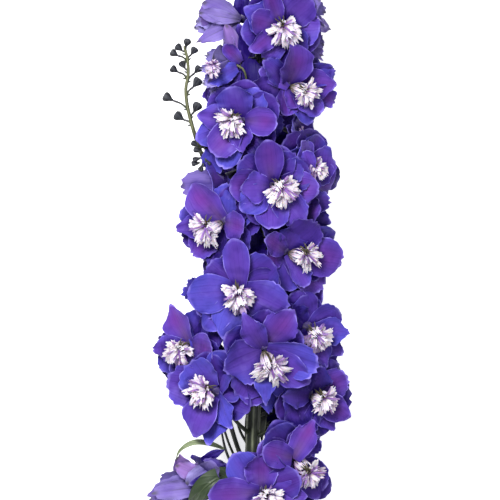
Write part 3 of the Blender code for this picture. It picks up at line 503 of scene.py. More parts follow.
# Side shoot: pixels of its bare stalk, and of its buds with the stalk pixel that each one hangs on
SHOOT_PIXELS = ((184, 45), (187, 58), (188, 72), (185.5, 88), (186.8, 104), (191, 122), (197, 142),
                (204, 160), (216, 182), (232, 202), (247, 214))
SHOOT_Z = (44, 44, 43, 43, 42, 42, 41, 40, 38, 37, 37)
SHOOT_RADIUS = 1.25
SHOOT_BUDS = (
    ((187, 41), (184, 49)), ((178, 46), (185, 54)), ((194, 49), (187, 60)), ((173, 52), (187, 61)),
    ((182, 63), (188, 73)), ((173, 68), (187, 78)), ((198, 68), (187, 82)), ((196, 82), (186, 95)),
    ((168, 97), (187, 109)), ((196, 107), (189, 118)), ((179, 116), (191, 125)), ((206, 145), (198, 146)),
)

# Withered buds near the foot of the shoot: pixel, height and the way that each points
SHOOT_SPIKES = (((206, 147), 50, 20), ((202, 151), 50, 165), ((201, 157), 50, 200), ((203, 163), 49, 250),
                ((206, 152), 50, 100), ((205, 158), 50, 300), ((199, 146), 46, 150), ((200, 162), 48, 190))

# Leaves: a stalk's pixels and heights from the stem outward, and blades on it, each by its root pixel, tip
# pixel, width, and its height at root and tip
BRACT_STALK = ((244, 484, 40), (233, 468, 43), (225, 449, 45), (221, 430, 44))
LEFT_STALK = ((247, 500, 38), (238, 487, 34), (229, 472, 31))
LEFT_BLADES = (((230, 473), (184, 508), 12.5, 31, 27), ((230, 475), (212, 520), 11.0, 31, 22),
               ((230, 473), (198, 483), 7.0, 31, 22))
RIGHT_STALK = ((254, 566, 37), (262, 554, 35), (268, 546, 34))
RIGHT_BLADES = (((267, 547), (304, 578), 12.0, 34, 26), ((267, 547), (283, 592), 11.0, 34, 22),
                ((267, 547), (306, 552), 8.0, 34, 28))
STALK_RADIUS = 1.0

# Thin stalks beside the stem: pixels and heights along each, and its radius
LOOSE_STALKS = (
    (((246, 470, 36), (238, 450, 33), (231, 428, 32), (228, 416, 34)), 1.4),
    (((240, 468, 37), (231, 450, 39), (224, 430, 41), (221, 418, 42)), 0.75),
    (((248, 446, 37), (240, 432, 31), (236, 416, 26), (236, 400, 24)), 0.8),
    (((256, 440, 36), (266, 430, 32), (282, 420, 30), (296, 416, 30)), 0.7),
    (((256, 420, 36), (264, 410, 30), (272, 396, 24), (276, 384, 22)), 0.8),
)

# A pale pedicel that shows in a gap among the florets
PALE_STALK = ((237, 65, 59), (243, 69, 60), (246, 77, 58), (246, 94, 50))
PALE_STALK_RADIUS = 0.62

# Small dark bracts beside the stem: root and tip, as pixels and heights, and width
STEM_BRACTS = (((257, 418, 37), (283, 409, 34), 3.4), ((257, 424, 36), (280, 430, 33), 3.0),
               ((258, 409, 37), (272, 402, 36), 3.6), ((250, 416, 40), (240, 404, 36), 2.6),
               ((258, 432, 36), (271, 421, 36), 2.2), ((261, 398, 34), (262, 448, 36), 7.0),
               ((249, 450, 34), (247, 402, 34), 4.5))

# Curved blades: pixels and heights along the middle, and the width
BRACT_RIBBONS = ((((225, 450, 45), (213, 445, 47), (199, 442.5, 48), (188, 445, 47.5), (179, 452, 46),
                   (175, 462, 43)), 3.4),)
LEFT_RIBBONS = ((((233, 472, 58), (219, 477, 66), (206, 486, 67), (195, 498, 60), (187, 513, 48)), 13.5),)


def between(value: float, stations: tuple, values: tuple) -> float:
    """The straight-line value at a place between stations."""
    return float(np.interp(value, stations, values))


def place(pixel: tuple, height: float) -> Vector:
    """The point that shows at a pixel of the photograph's frame.

    Args:
        pixel: its column and row.
        height: how high the point is.

    Returns:
        The point.
    """
    x = (pixel[0] - STEM_PIXEL_X) * MM_PER_PIXEL - CENTRE_X
    y = (BOTTOM_PIXEL_Y - pixel[1]) * MM_PER_PIXEL - CENTRE_Y
    return Vector((x, y, height))


def spot(knot: tuple) -> Vector:
    """The point of a knot, which gives its pixel and then its height."""
    return place(knot[:2], knot[2])


def route(knots: tuple) -> list[Vector]:
    """The points of a path's knots."""
    return [spot(knot) for knot in knots]


def stem_axis(y: float) -> Vector:
    """The stem's middle at a place along it, counted from the photograph's lower edge."""
    return Vector((between(y, STEM_Y, STEM_X) - CENTRE_X, y - CENTRE_Y, between(y, STEM_Y, STEM_Z)))


def stem_radius(y: float) -> float:
    """The stem's radius at a place along it."""
    return between(y, STEM_Y, STEM_RADIUS)


def grid(vectors: list) -> np.ndarray:
    """Vectors as rows of an array."""
    return np.array([tuple(v) for v in vectors], float)


def rows_of(*columns: Union[float, np.ndarray]) -> np.ndarray:
    """Columns side by side, where a number stands for a column that is the same all along."""
    return np.stack(np.broadcast_arrays(*columns), axis=1)


def unit_rows(vectors: np.ndarray) -> np.ndarray:
    """Each row at a length of 1."""
    return vectors / np.linalg.norm(vectors, axis=1)[:, None]


Value = Union[float, tuple, "Wire"]


class Wire:
    """An output socket of a material's graph that Python's operators work on."""

    def __init__(self, graph: "Graph", socket: bpy.types.NodeSocket) -> None:
        """Wraps a socket of a graph."""
        self.graph = graph
        self.socket = socket

    def maths(self, operation: str, *values: Value) -> "Wire":
        """A Math node on some values."""
        return self.graph.node("ShaderNodeMath", {"operation": operation}, dict(enumerate(values)))

    def __add__(self, other: Value) -> "Wire":
        """The sum."""
        return self.maths("ADD", self, other)

    def __radd__(self, other: Value) -> "Wire":
        """The sum."""
        return self.maths("ADD", other, self)

    def __sub__(self, other: Value) -> "Wire":
        """The difference."""
        return self.maths("SUBTRACT", self, other)

    def __rsub__(self, other: Value) -> "Wire":
        """The difference, the other way."""
        return self.maths("SUBTRACT", other, self)

    def __mul__(self, other: Value) -> "Wire":
        """The product."""
        return self.maths("MULTIPLY", self, other)

    def __rmul__(self, other: Value) -> "Wire":
        """The product."""
        return self.maths("MULTIPLY", other, self)

    def __pow__(self, other: Value) -> "Wire":
        """The power."""
        return self.maths("POWER", self, other)

    def __abs__(self) -> "Wire":
        """The size without its sign."""
        return self.maths("ABSOLUTE", self)

    def sine(self) -> "Wire":
        """The sine."""
        return self.maths("SINE", self)

    def most(self, other: Value) -> "Wire":
        """The greater of two values."""
        return self.maths("MAXIMUM", self, other)

    def step(self, low: float, high: float) -> "Wire":
        """A smooth step from 0 at low to 1 at high."""
        settings = {"interpolation_type": "SMOOTHSTEP"}
        return self.graph.node("ShaderNodeMapRange", settings, {0: self, 1: low, 2: high, 3: 0.0, 4: 1.0})

    def bell(self, middle: float, reach: float) -> "Wire":
        """A bump of height 1 round a middle value, gone at its reach."""
        return abs(self - middle).step(reach, 0.0)


class Graph:
    """A material's node graph, ending in one Principled shader."""

    def __init__(self, name: str) -> None:
        """Makes an empty material.

        Args:
            name: the material's name.
        """
        self.material = bpy.data.materials.new(name)
        self.material.use_nodes = True
        self.tree = self.material.node_tree
        self.shader = self.tree.nodes["Principled BSDF"]
        self.marks = {}
        self.where = self.node("ShaderNodeTexCoord", {}, {}, 3)

    def node(self, kind: str, settings: dict, values: dict, output: int = 0) -> Wire:
        """Adds a node.

        Args:
            kind: the node's type.
            settings: its own settings, set first.
            values: values or wires by the input's name or number.
            output: the number of the output that is handed back.

        Returns:
            The output.
        """
        made = self.tree.nodes.new(kind)
        for name, setting in settings.items():
            setattr(made, name, setting)
        for key, value in values.items():
            if isinstance(value, Wire):
                self.tree.links.new(value.socket, made.inputs[key])
            else:
                made.inputs[key].default_value = value
        return Wire(self, made.outputs[output])

    def mark(self, name: str) -> tuple[Wire, Wire, Wire]:
        """The three numbers of a mesh's own vector attribute.

        Args:
            name: the attribute's name.

        Returns:
            The numbers.
        """
        if name not in self.marks:
            vector = self.node("ShaderNodeAttribute", {"attribute_name": name}, {}, 1)
            outputs = self.node("ShaderNodeSeparateXYZ", {}, {0: vector}).socket.node.outputs
            self.marks[name] = tuple(Wire(self, output) for output in outputs)
        return self.marks[name]

    def inside(self) -> tuple[Wire, Wire]:
        """How deep a point lies within the spike and under what is near, each from 0 to 1."""
        return self.mark("depth")[:2]

    def noise(self, scale: float, detail: float = 2.0, vector: Optional[Wire] = None) -> Wire:
        """Noise from 0 to 1.

        Args:
            scale: features to the metre, on the object's own coordinates.
            detail: how many finer layers it has.
            vector: what it varies over, where that isn't the object's coordinates.

        Returns:
            The noise.
        """
        values = {"Vector": vector or self.where, "Scale": scale, "Detail": detail}
        return self.node("ShaderNodeTexNoise", {}, values)

    def mix(self, share: Value, first: Value, second: Value, way: str = "MIX") -> Wire:
        """A colour between two, or blended with another.

        Args:
            share: 0 for the first and 1 for the second.
            first: the first colour.
            second: the second colour.
            way: the blend.

        Returns:
            The colour.
        """
        settings = {"data_type": "RGBA", "blend_type": way, "clamp_factor": True}
        return self.node("ShaderNodeMix", settings, {0: share, 6: colour(first), 7: colour(second)}, 2)

    def dress(self, base: Value, roughness: Value, height: Optional[Wire] = None, depth: float = 0.1,
              **plain: Value) -> bpy.types.Material:
        """Feeds the shader.

        Args:
            base: the base colour.
            roughness: the roughness.
            height: relief from 0 to 1.
            depth: the relief's depth in millimetres.
            plain: numbers for the shader's other sockets, with _ for each space of their names.

        Returns:
            The material.
        """
        self.feed("Base Color", colour(base))
        self.feed("Roughness", roughness)
        if height:
            relief = {"Strength": 1.0, "Distance": depth * MM, "Height": height}
            self.feed("Normal", self.node("ShaderNodeBump", {}, relief))
        for name, value in plain.items():
            self.feed(name.replace("_", " "), value)
        return self.material

    def feed(self, name: str, value: Value) -> None:
        """Sets or links one input of the shader.

        Args:
            name: the input's name.
            value: a value or a wire.
        """
        if isinstance(value, Wire):
            self.tree.links.new(value.socket, self.shader.inputs[name])
        else:
            self.shader.inputs[name].default_value = value


def colour(value: Value) -> Value:
    """A colour of three numbers with its alpha, or what is already a wire."""
    return value if isinstance(value, Wire) else (*value[:3], 1.0)


class Finish:
    """How a surface looks."""

    def make(self) -> bpy.types.Material:
        """The material."""
        raise NotImplementedError


@dataclass(frozen=True)
class SepalFinish(Finish):
    """The velvety inside of a sepal: violet, bluer to the rim, with a magenta blush, painted shade toward its
    root and where it lies deep, and a pale rim that is a painted highlight.
    """

    violet: tuple = (0.094, 0.046, 0.365)
    # deep: for darker patches and veins, and for painted shade
    deep: tuple = (0.012, 0.004, 0.102)
    blue: tuple = (0.076, 0.066, 0.455)
    magenta: tuple = (0.145, 0.036, 0.275)
    base: tuple = (0.160, 0.078, 0.21)
    bloom: tuple = (0.17, 0.122, 0.54)
    # rim: the colour of the painted highlight along the rim
    rim: tuple = (0.32, 0.26, 0.82)
    roughness: float = 0.40

    def make(self) -> bpy.types.Material:
        """Builds the finish.

        Returns:
            The material.
        """
        g = Graph("sepal inside")
        across, along, blush = g.mark("petal")
        blue, shade, seed = g.mark("tone")
        cloud = g.noise(70.0, 3.0)
        side = abs(across)
        fringe = side.most(along)
        veins = self.veins(g, across, along, seed)
        bluer = (side * 0.55 + along * 0.55 + cloud * 1.1 - 1.05 + blue).step(0.0, 1.0)
        base = g.mix(bluer, self.violet, self.blue)
        patch = g.noise(105.0, 2.0)
        base = g.mix(patch.step(0.55, 0.75) * 0.4, base, self.bloom)
        middle = along.bell(0.62, 0.5) * across.bell(0.0, 0.95)
        base = g.mix(middle * blush * (cloud * 1.2 + 0.35), base, self.magenta)
        heart = along.step(0.6, 0.05) * across.bell(0.0, 0.75)
        base = g.mix(heart * (blush * 0.6 + 0.2), base, self.base)
        # darker patches at random and veins, with painted shade toward the root
        darker = patch.step(0.5, 0.25) * 0.3 + veins * 0.12 + along.step(0.3, 0.0) * 0.35
        base = g.mix(darker, base, self.deep)
        # painted shade: the sepal's own tone of shade, shadow under what is near, and depth within the spike
        inside, under = g.inside()
        base = g.mix((shade + under * 0.55).most(inside * 0.94), base, self.deep)
        # painted highlight: a pale rim, gone where the sepal has painted shade
        lit = fringe.step(0.92, 0.99) * (g.noise(160.0, 2.0).step(0.35, 0.75) * 0.8 + 0.08)
        base = g.mix(lit * (1.0 - shade) * (1.0 - inside), base, self.rim)
        rough = self.roughness + cloud * 0.12
        relief = veins * -0.5 + g.noise(900.0, 2.0) * 0.5 + cloud * 2.0
        return g.dress(base, rough, relief, 0.16, Sheen_Weight=0.08, Sheen_Roughness=0.4,
                       Sheen_Tint=(0.42, 0.32, 1.0, 1.0), Specular_IOR_Level=0.08)

    def veins(self, g: Graph, across: Wire, along: Wire, seed: Wire) -> Wire:
        """Fine branching veins that fan out from the claw.

        Args:
            g: the material's graph.
            across: place across the sepal, from -1 to 1.
            along: place along it, from 0 to 1.
            seed: a number of the sepal's own.

        Returns:
            1 on a vein and 0 between veins.
        """
        bend = g.noise(260.0, 2.0) * 0.9
        main = ((across * 19.0 + seed * 6.0 + bend * along * 3.4).sine() * 0.5 + 0.5) ** 9.0
        twig = ((across * 43.0 + along * 3.0 + seed * 9.0 + bend * 4.5).sine() * 0.5 + 0.5) ** 7.0
        return main * 0.8 + twig * 0.45 * along.step(0.3, 0.7)


@dataclass(frozen=True)
class SepalBackFinish(Finish):
    """The back of a sepal: paler lilac with clear veins, a green-brown spot at the tip, and painted shade
    where it lies deep.
    """

    lilac: tuple = (0.145, 0.100, 0.40)
    pale: tuple = (0.28, 0.24, 0.55)
    pink: tuple = (0.30, 0.165, 0.44)
    deep: tuple = (0.050, 0.028, 0.23)
    vein: tuple = (0.070, 0.040, 0.28)
    spot: tuple = (0.085, 0.080, 0.055)

    def make(self) -> bpy.types.Material:
        """Builds the finish.

        Returns:
            The material.
        """
        g = Graph("sepal back")
        across, along, blush = g.mark("petal")
        blue, shade, seed = g.mark("tone")
        cloud = g.noise(90.0, 3.0)
        veins = SepalFinish().veins(g, across, along, seed)
        base = g.mix(cloud * 1.8 - 0.55 + blue, self.lilac, self.pale)
        base = g.mix(blush * (cloud + 0.3), base, self.pink)
        base = g.mix(abs(across).step(0.5, 1.0) * 0.45, base, self.pale)
        base = g.mix(veins * 0.16, base, self.vein)
        base = g.mix(abs(across).step(0.07, 0.0) * along.step(1.0, 0.4) * 0.55, base, self.spot)
        spot = along.step(0.86, 0.96) * across.bell(0.0, 0.45)
        base = g.mix(spot * 0.75 + along.step(0.30, 0.0) * 0.75, base, self.spot)
        base = g.mix(along.step(0.6, 0.1) * veins * cloud * 0.6, base, self.spot)
        # painted shade: the sepal's own tone of shade, shadow under what is near, and depth within the spike
        inside, under = g.inside()
        base = g.mix((shade + under * 0.4).most(inside * 0.85), base, self.deep)
        return g.dress(base, 0.6, veins * 0.4 + g.noise(900.0, 2.0) * 0.3, 0.16, Sheen_Weight=0.05,
                       Sheen_Roughness=0.4, Specular_IOR_Level=0.08)


@dataclass(frozen=True)
class TongueFinish(Finish):
    """A bee's petal: white with a cream middle, violet streaks, an olive foot, dark violet edges that are
    partly painted shade, and violet painted shade where it lies deep.
    """

    white: tuple = (0.72, 0.66, 0.74)
    cream: tuple = (0.72, 0.65, 0.57)
    violet: tuple = (0.20, 0.075, 0.36)
    edge_violet_and_shade: tuple = (0.075, 0.035, 0.13)
    foot: tuple = (0.13, 0.11, 0.05)

    def make(self) -> bpy.types.Material:
        """Builds the finish.

        Returns:
            The material.
        """
        g = Graph("bee petal")
        across, along, violet = g.mark("petal")
        foot, shade, seed = g.mark("tone")
        cloud = g.noise(420.0, 2.0)
        base = g.mix(across.bell(0.0, 0.8) * along.bell(0.6, 0.5) * (cloud * 1.6), self.white, self.cream)
        streak = ((across * 5.0 + seed * 6.0).sine() * 0.5 + 0.5) ** 2.0
        base = g.mix(violet * (streak * 0.8 + 0.3) * along.step(0.85, 0.35), base, self.violet)
        # dark violet edges: partly the petal's own colour, partly painted shade in the gaps between petals
        base = g.mix(abs(across).step(0.80, 0.98) * along.step(0.98, 0.6) * 0.75, base, self.edge_violet_and_shade)
        base = g.mix(along.step(0.5, 0.12) * foot, base, self.foot)
        # violet: the petal's own tone, with painted shade from depth within the spike and shadow under what
        # is near
        inside, under = g.inside()
        base = g.mix((shade + inside * 0.6).most(under.step(0.05, 0.75) * 0.7), base, self.violet)
        return g.dress(base, 0.5 + cloud * 0.1, cloud, 0.12, Specular_IOR_Level=0.4, Subsurface_Weight=0.12,
                       Subsurface_Scale=0.001)


@dataclass(frozen=True)
class StemFinish(Finish):
    """A green stalk with paler ribs, darker green between them, and painted shadow where it lies deep."""

    name: str
    green: tuple = (0.075, 0.095, 0.045)
    pale: tuple = (0.21, 0.25, 0.13)
    dark: tuple = (0.018, 0.026, 0.012)
    flush: tuple = (0.06, 0.035, 0.10)
    shadow: tuple = (0.008, 0.010, 0.008)
    ribs: float = 5.0
    flushed: float = 0.0
    roughness: float = 0.5

    def make(self) -> bpy.types.Material:
        """Builds the finish.

        Returns:
            The material.
        """
        g = Graph(self.name)
        turn, along, end = g.mark("stalk")
        cloud = g.noise(120.0, 3.0)
        rib = ((turn * self.ribs + cloud * 0.8 + 2.9).sine() * 0.5 + 0.5) ** 6.0
        base = g.mix(cloud * 1.3 - 0.15, self.green, self.dark)
        base = g.mix(rib * 0.8, base, self.pale)
        base = g.mix(along.step(0.25, 1.0) * self.flushed, base, self.flush)
        base = g.mix(end, base, self.pale)
        # painted shadow: depth within the spike and shade under what is near
        inside, under = g.inside()
        base = g.mix((inside * 0.95).most(under * 0.6), base, self.shadow)
        relief = rib * 0.8 + g.noise(700.0, 2.0) * 0.4
        return g.dress(base, self.roughness, relief, 0.15, Specular_IOR_Level=0.4)


@dataclass(frozen=True)
class BudFinish(Finish):
    """A closed bud: slate green with darker seams and a dull bloom."""

    name: str
    slate: tuple = (0.020, 0.022, 0.030)
    pale: tuple = (0.075, 0.078, 0.088)
    seam: tuple = (0.006, 0.006, 0.010)
    folds: float = 5.0

    def make(self) -> bpy.types.Material:
        """Builds the finish.

        Returns:
            The material.
        """
        g = Graph(self.name)
        turn, along, _ = g.mark("stalk")
        cloud = g.noise(300.0, 3.0)
        seam = ((turn * self.folds).sine() * 0.5 + 0.5) ** 5.0
        base = g.mix(cloud * 1.5 - 0.3, self.slate, self.pale)
        base = g.mix(seam * 0.85, base, self.seam)
        base = g.mix(along.step(0.75, 1.0) * 0.5, base, self.pale)
        return g.dress(base, 0.55 + cloud * 0.2, cloud - seam, 0.2, Specular_IOR_Level=0.14)


@dataclass(frozen=True)
class LeafFinish(Finish):
    """A leaf: dark green with a paler midrib, netted veins and a soft gloss."""

    name: str
    green: tuple = (0.022, 0.040, 0.018)
    light: tuple = (0.048, 0.075, 0.034)
    rib: tuple = (0.10, 0.135, 0.065)
    roughness: float = 0.42

    def make(self) -> bpy.types.Material:
        """Builds the finish.

        Returns:
            The material.
        """
        g = Graph(self.name)
        across, along, back = g.mark("petal")
        cloud = g.noise(110.0, 3.0)
        slant = ((abs(across) * 9.0 - along * 30.0 + cloud * 2.0).sine() * 0.5 + 0.5) ** 4.0
        base = g.mix(cloud * 1.2 - 0.1, self.green, self.light)
        base = g.mix(slant * 0.25, base, self.light)
        base = g.mix(across.bell(0.0, 0.10) * 0.4, base, self.rib)
        base = g.mix(back * 0.6, base, self.rib)
        return g.dress(base, self.roughness + cloud * 0.12, slant * -0.5 - across.bell(0.0, 0.14), 0.3,
                       Specular_IOR_Level=0.45)


@dataclass(frozen=True)
class FloorFinish(Finish):
    """A plain pale studio floor with the faintest mottle, which glows a little: painted light that washes out
    the spike's shadows on it.
    """

    pale: tuple = (0.93, 0.93, 0.93)
    # painted light: the floor's own glow, which fills in the shadows cast on it
    glow: float = 0.72

    def make(self) -> bpy.types.Material:
        """Builds the finish.

        Returns:
            The material.
        """
        g = Graph("studio floor")
        base = g.mix(g.noise(6.0) * 0.3, self.pale, (0.90, 0.90, 0.90))
        return g.dress(base, 0.85, Emission_Color=(1.0, 1.0, 1.0, 1.0), Emission_Strength=self.glow)


# The finishes of this spike
SEPAL_INSIDE = SepalFinish()
SEPAL_BACK = SepalBackFinish()
BEE_PETAL = TongueFinish()
OLIVE_STEM = StemFinish("olive stem", green=(0.032, 0.042, 0.021), pale=(0.26, 0.29, 0.18),
                        dark=(0.008, 0.011, 0.006))
SHOOT_GREEN = StemFinish("shoot", green=(0.15, 0.16, 0.075), pale=(0.30, 0.31, 0.18),
                         dark=(0.05, 0.055, 0.025))
PEDICEL_GREEN = StemFinish("pedicel", green=(0.030, 0.040, 0.020), pale=(0.10, 0.12, 0.06), ribs=4.0,
                           flushed=0.4)
SPUR_VIOLET = StemFinish("spur", green=(0.13, 0.09, 0.30), pale=(0.26, 0.20, 0.46), dark=(0.06, 0.04, 0.20),
                         ribs=4.0, flushed=0.3)
THROAT_OLIVE = StemFinish("throat", green=(0.060, 0.055, 0.018), pale=(0.012, 0.010, 0.008),
                          dark=(0.022, 0.014, 0.014), flush=(0.15, 0.125, 0.07), flushed=0.6)
SLATE_BUD = BudFinish("slate bud")
GREEN_BUD = BudFinish("green bud", slate=(0.07, 0.10, 0.07), pale=(0.16, 0.17, 0.24))
DARK_LEAF = LeafFinish("dark leaf")
PALE_BRACT = LeafFinish("bract", green=(0.16, 0.20, 0.10), light=(0.27, 0.33, 0.18), rib=(0.36, 0.42, 0.26),
                        roughness=0.5)


class Shape(Enum):
    """What pieces are copied from: a square sheet, a tube of a unit to each ring, or a ball, of radius 1."""

    SHEET = "sheet"
    TUBE = "tube"
    BALL = "ball"


class Layer(Enum):
    """How finely a sheet is cut: cells across and along it."""

    FRONT = (14, 20)
    HIDDEN = (10, 14)
    TONGUE = (10, 12)
    LEAF = (12, 30)


@dataclass
class Workshop:
    """The patterns that pieces are copied from and the materials that they share, each made once."""

    patterns: dict = field(default_factory=dict)
    paints: dict = field(default_factory=dict)

    def paint(self, finish: Finish) -> bpy.types.Material:
        """The material of a finish.

        Args:
            finish: the finish.

        Returns:
            The material.
        """
        if finish not in self.paints:
            self.paints[finish] = finish.make()
        return self.paints[finish]

    def sheet(self, layer: Layer) -> bpy.types.Object:
        """A square closed sheet, two units wide and one thick, that sheets are copied from."""
        across, along = layer.value
        return self.pattern(Shape.SHEET, across, along)

    def pattern(self, shape: Shape, across: int, along: int) -> bpy.types.Object:
        """A shape that pieces are copied from, modelled once.

        Args:
            shape: its shape.
            across: its cells across, or its sides.
            along: its cells along, or its rings.

        Returns:
            The shape, out of the scene.
        """
        key = (shape, across, along)
        if key not in self.patterns:
            if shape is Shape.BALL:
                bpy.ops.mesh.primitive_uv_sphere_add(segments=across, ring_count=along, radius=1)
            elif shape is Shape.TUBE:
                bpy.ops.mesh.primitive_circle_add(vertices=across, radius=1, fill_type="NGON")
                self.raise_flat(along, TUBE_INSET)
            else:
                bpy.ops.mesh.primitive_grid_add(x_subdivisions=across, y_subdivisions=along, size=2)
                self.raise_flat(1)
            made = bpy.context.view_layer.objects.active
            made.name = f"{shape.value} pattern {across} {along}"
            bpy.context.scene.collection.objects.unlink(made)
            self.patterns[key] = made
        return self.patterns[key]

    def raise_flat(self, steps: int, inset: float = 0.0) -> None:
        """Extrudes the active flat shape to a closed one.

        Args:
            steps: how many units it is extruded, one by one.
            inset: how far its top is inset, or 0 for a plain top.
        """
        bpy.ops.object.mode_set(mode="EDIT")
        bpy.ops.mesh.select_all(action="SELECT")
        for _ in range(steps):
            bpy.ops.mesh.extrude_region_move(TRANSFORM_OT_translate={"value": (0, 0, 1)})
        if inset:
            bpy.ops.mesh.inset(thickness=inset)
        bpy.ops.mesh.select_all(action="SELECT")
        bpy.ops.mesh.normals_make_consistent(inside=False)
        bpy.ops.object.mode_set(mode="OBJECT")

    def clear(self) -> None:
        """Removes the patterns."""
        for pattern in self.patterns.values():
            bpy.data.objects.remove(pattern)
        self.patterns = {}


SHOP = Workshop()


def write_mark(mesh: bpy.types.Mesh, name: str, rows: np.ndarray) -> None:
    """Gives a mesh a vector attribute, from a row for each point."""
    mark = mesh.attributes.new(name, "FLOAT_VECTOR", "POINT")
    mark.data.foreach_set("vector", rows.astype(np.float32).ravel())


def copy_of(pattern: bpy.types.Object, points: np.ndarray, marks: dict[str, np.ndarray],
            finish: Finish) -> bpy.types.Object:
    """A copy of a pattern with its own mesh.

    Args:
        pattern: the object to copy.
        points: the copy's points in millimetres.
        marks: vector attributes by name, a row for each point.
        finish: the copy's finish.

    Returns:
        The copy, linked to the scene.
    """
    mesh = pattern.data.copy()
    mesh.vertices.foreach_set("co", (points * MM).astype(np.float32).ravel())
    for name, rows in marks.items():
        write_mark(mesh, name, rows)
    mesh.materials.clear()
    mesh.materials.append(SHOP.paint(finish))
    made = bpy.data.objects.new(pattern.name, mesh)
    bpy.context.scene.collection.objects.link(made)
    return made


def joined(parts: list, name: str, smooth: float = 50.0) -> bpy.types.Object:
    """Joins parts in one object with soft shading.

    Args:
        parts: the objects to join.
        name: the joined object's name.
        smooth: edges sharper than this many degrees stay sharp.

    Returns:
        The object.
    """
    bpy.ops.object.select_all(action="DESELECT")
    for part in parts:
        part.select_set(True)
    bpy.context.view_layer.objects.active = parts[0]
    if len(parts) > 1:
        bpy.ops.object.join()
    whole = bpy.context.view_layer.objects.active
    whole.name = name
    whole.data.name = name
    bpy.ops.object.shade_smooth_by_angle(angle=math.radians(smooth))
    whole.select_set(False)
    return whole


class SheetMaker:
    """Bends copies of the square sheet to blades."""

    def __init__(self, layer: Layer) -> None:
        """Reads the sheet's own places.

        Args:
            layer: how finely the sheet is cut.
        """
        self.pattern = SHOP.sheet(layer)
        flat = grid([v.co for v in self.pattern.data.vertices])
        self.u = 0.55 * flat[:, 0] + 0.45 * np.sin(0.5 * np.pi * flat[:, 0])
        self.v = 0.5 + 0.5 * flat[:, 1]
        self.side = 2.0 * flat[:, 2] - 1.0
        self.back = (self.side < 0).astype(float)

    def copy(self, points: np.ndarray, finish: Finish, third: Union[float, np.ndarray], tone: tuple = (),
             mark: str = "petal") -> bpy.types.Object:
        """A copy of the sheet with its marks for a finish.

        Args:
            points: the copy's points.
            finish: its finish.
            third: what its mark holds besides the places across and along it.
            tone: three numbers of the copy's own, for a second mark.
            mark: the mark's name.

        Returns:
            The copy.
        """
        marks = {mark: rows_of(self.u, self.v, third)}
        if tone:
            marks["tone"] = np.tile(tone, (len(self.u), 1))
        return copy_of(self.pattern, points, marks, finish)

    def bend(self, blade: Blade, edge: Edge, thickness: float) -> np.ndarray:
        """The sheet's points on a blade.

        Args:
            blade: the plain form.
            edge: what the sheet has over it.
            thickness: the sheet's thickness at its middle.

        Returns:
            A row for each point.
        """
        u, v = self.u, self.v
        past = np.clip((v - blade.widest) / (1 - blade.widest), 0, None)
        swell = np.sin(0.5 * np.pi * np.clip(v / blade.widest, 0, 1)) ** 1.3
        share = np.where(v < blade.widest, blade.claw + (1 - blade.claw) * swell, 1 - 0.16 * past ** 2)
        share = share * (1 - edge.point * 0.55 * past ** 1.5)
        turn = np.arctan2(u, 2.1 * (v - 0.42))
        rim = np.maximum(np.abs(u), np.clip((v - 0.55) / 0.45, 0, 1)) ** 3
        wave = np.sin(edge.waves * turn + edge.phase)
        wave = wave + 0.5 * np.sin(2.1 * edge.waves * turn + 2.3 * edge.phase)
        tooth = np.sin(edge.tooth_count * turn + 1.7 * edge.phase)
        tooth = np.abs(tooth) + 0.5 * np.sin(2.7 * edge.tooth_count * turn + edge.phase)
        reach = 1 + edge.teeth * (tooth - 0.6) * rim ** 2 * np.clip(4 * v, 0, 1)
        x = 0.5 * blade.width * share * u * reach
        drop = (edge.rounding + 0.14 * edge.point) * np.abs(u) ** (2.0 - 0.9 * edge.point) * v ** 4
        dent = edge.notch * np.exp(-(u / edge.dent) ** 2) * v ** 8
        s = (v - drop - dent) * np.where(v > 0.5, 1 + (reach - 1) * (v - 0.5) * 2, 1)
        half = 0.5 * blade.width * plain_outline(s, blade.claw, blade.widest)
        rise = blade.cup * x ** 2 / np.maximum(half, 0.3 * blade.width)
        rise += edge.ruffle * rim * wave * np.clip(3 * v, 0, 1)
        rise -= edge.crease * np.exp(-(x / (0.07 * blade.width)) ** 2) * (1 - 0.6 * s)
        rise += edge.curl * blade.length * np.clip(s - 0.5, 0, 1) ** 2
        rise += edge.fold * np.cos(2 * np.pi * (1.15 * u + 0.3 * v) + edge.phase) * np.clip(2 * v, 0, 1)
        over = 0.5 * thickness * self.side * (1 - 0.45 * rim)
        return warp(blade, x, s, rise, over)


def plain_outline(s: np.ndarray, claw: float, widest: float) -> np.ndarray:
    """A blade's half width along it.

    Args:
        s: places along it, as shares of its length.
        claw: the share of the width at its root.
        widest: where it is widest.

    Returns:
        The half widths, as shares of the greatest.
    """
    swell = claw + (1 - claw) * np.sin(0.5 * np.pi * np.clip(s / widest, 0, 1)) ** 1.3
    past = np.clip((s - widest) / (1 - widest), 0, 1)
    return np.where(s < widest, swell, (1 - past ** 2) ** 0.6)


def warp(blade: Blade, x: np.ndarray, s: np.ndarray, rise: np.ndarray, over: np.ndarray) -> np.ndarray:
    """Points of a blade in the part's frame.

    Args:
        blade: the plain form.
        x: distance across it.
        s: place along it, as a share of its length.
        rise: height over its plain middle layer.
        over: height over the sheet's own middle layer.

    Returns:
        A row for each point.
    """
    side, face = np.array(blade.face.cross(blade.along)), np.array(blade.face)
    root, along = np.array(blade.root), np.array(blade.along)
    turn = (blade.twist * (s - 0.5))[:, None]
    across = side * np.cos(turn) + face * np.sin(turn)
    upward = face * np.cos(turn) - side * np.sin(turn)
    bow = 4 * blade.arch * blade.length * s * (1 - s)
    points = root + along * (blade.length * s)[:, None] + face * bow[:, None]
    points = points + across * x[:, None] + upward * rise[:, None]
    points[:, 2] = np.maximum(points[:, 2], LOWEST_MIDDLE)
    points = points + upward * over[:, None]
    points[:, 2] = np.maximum(points[:, 2], 0.0)
    return points


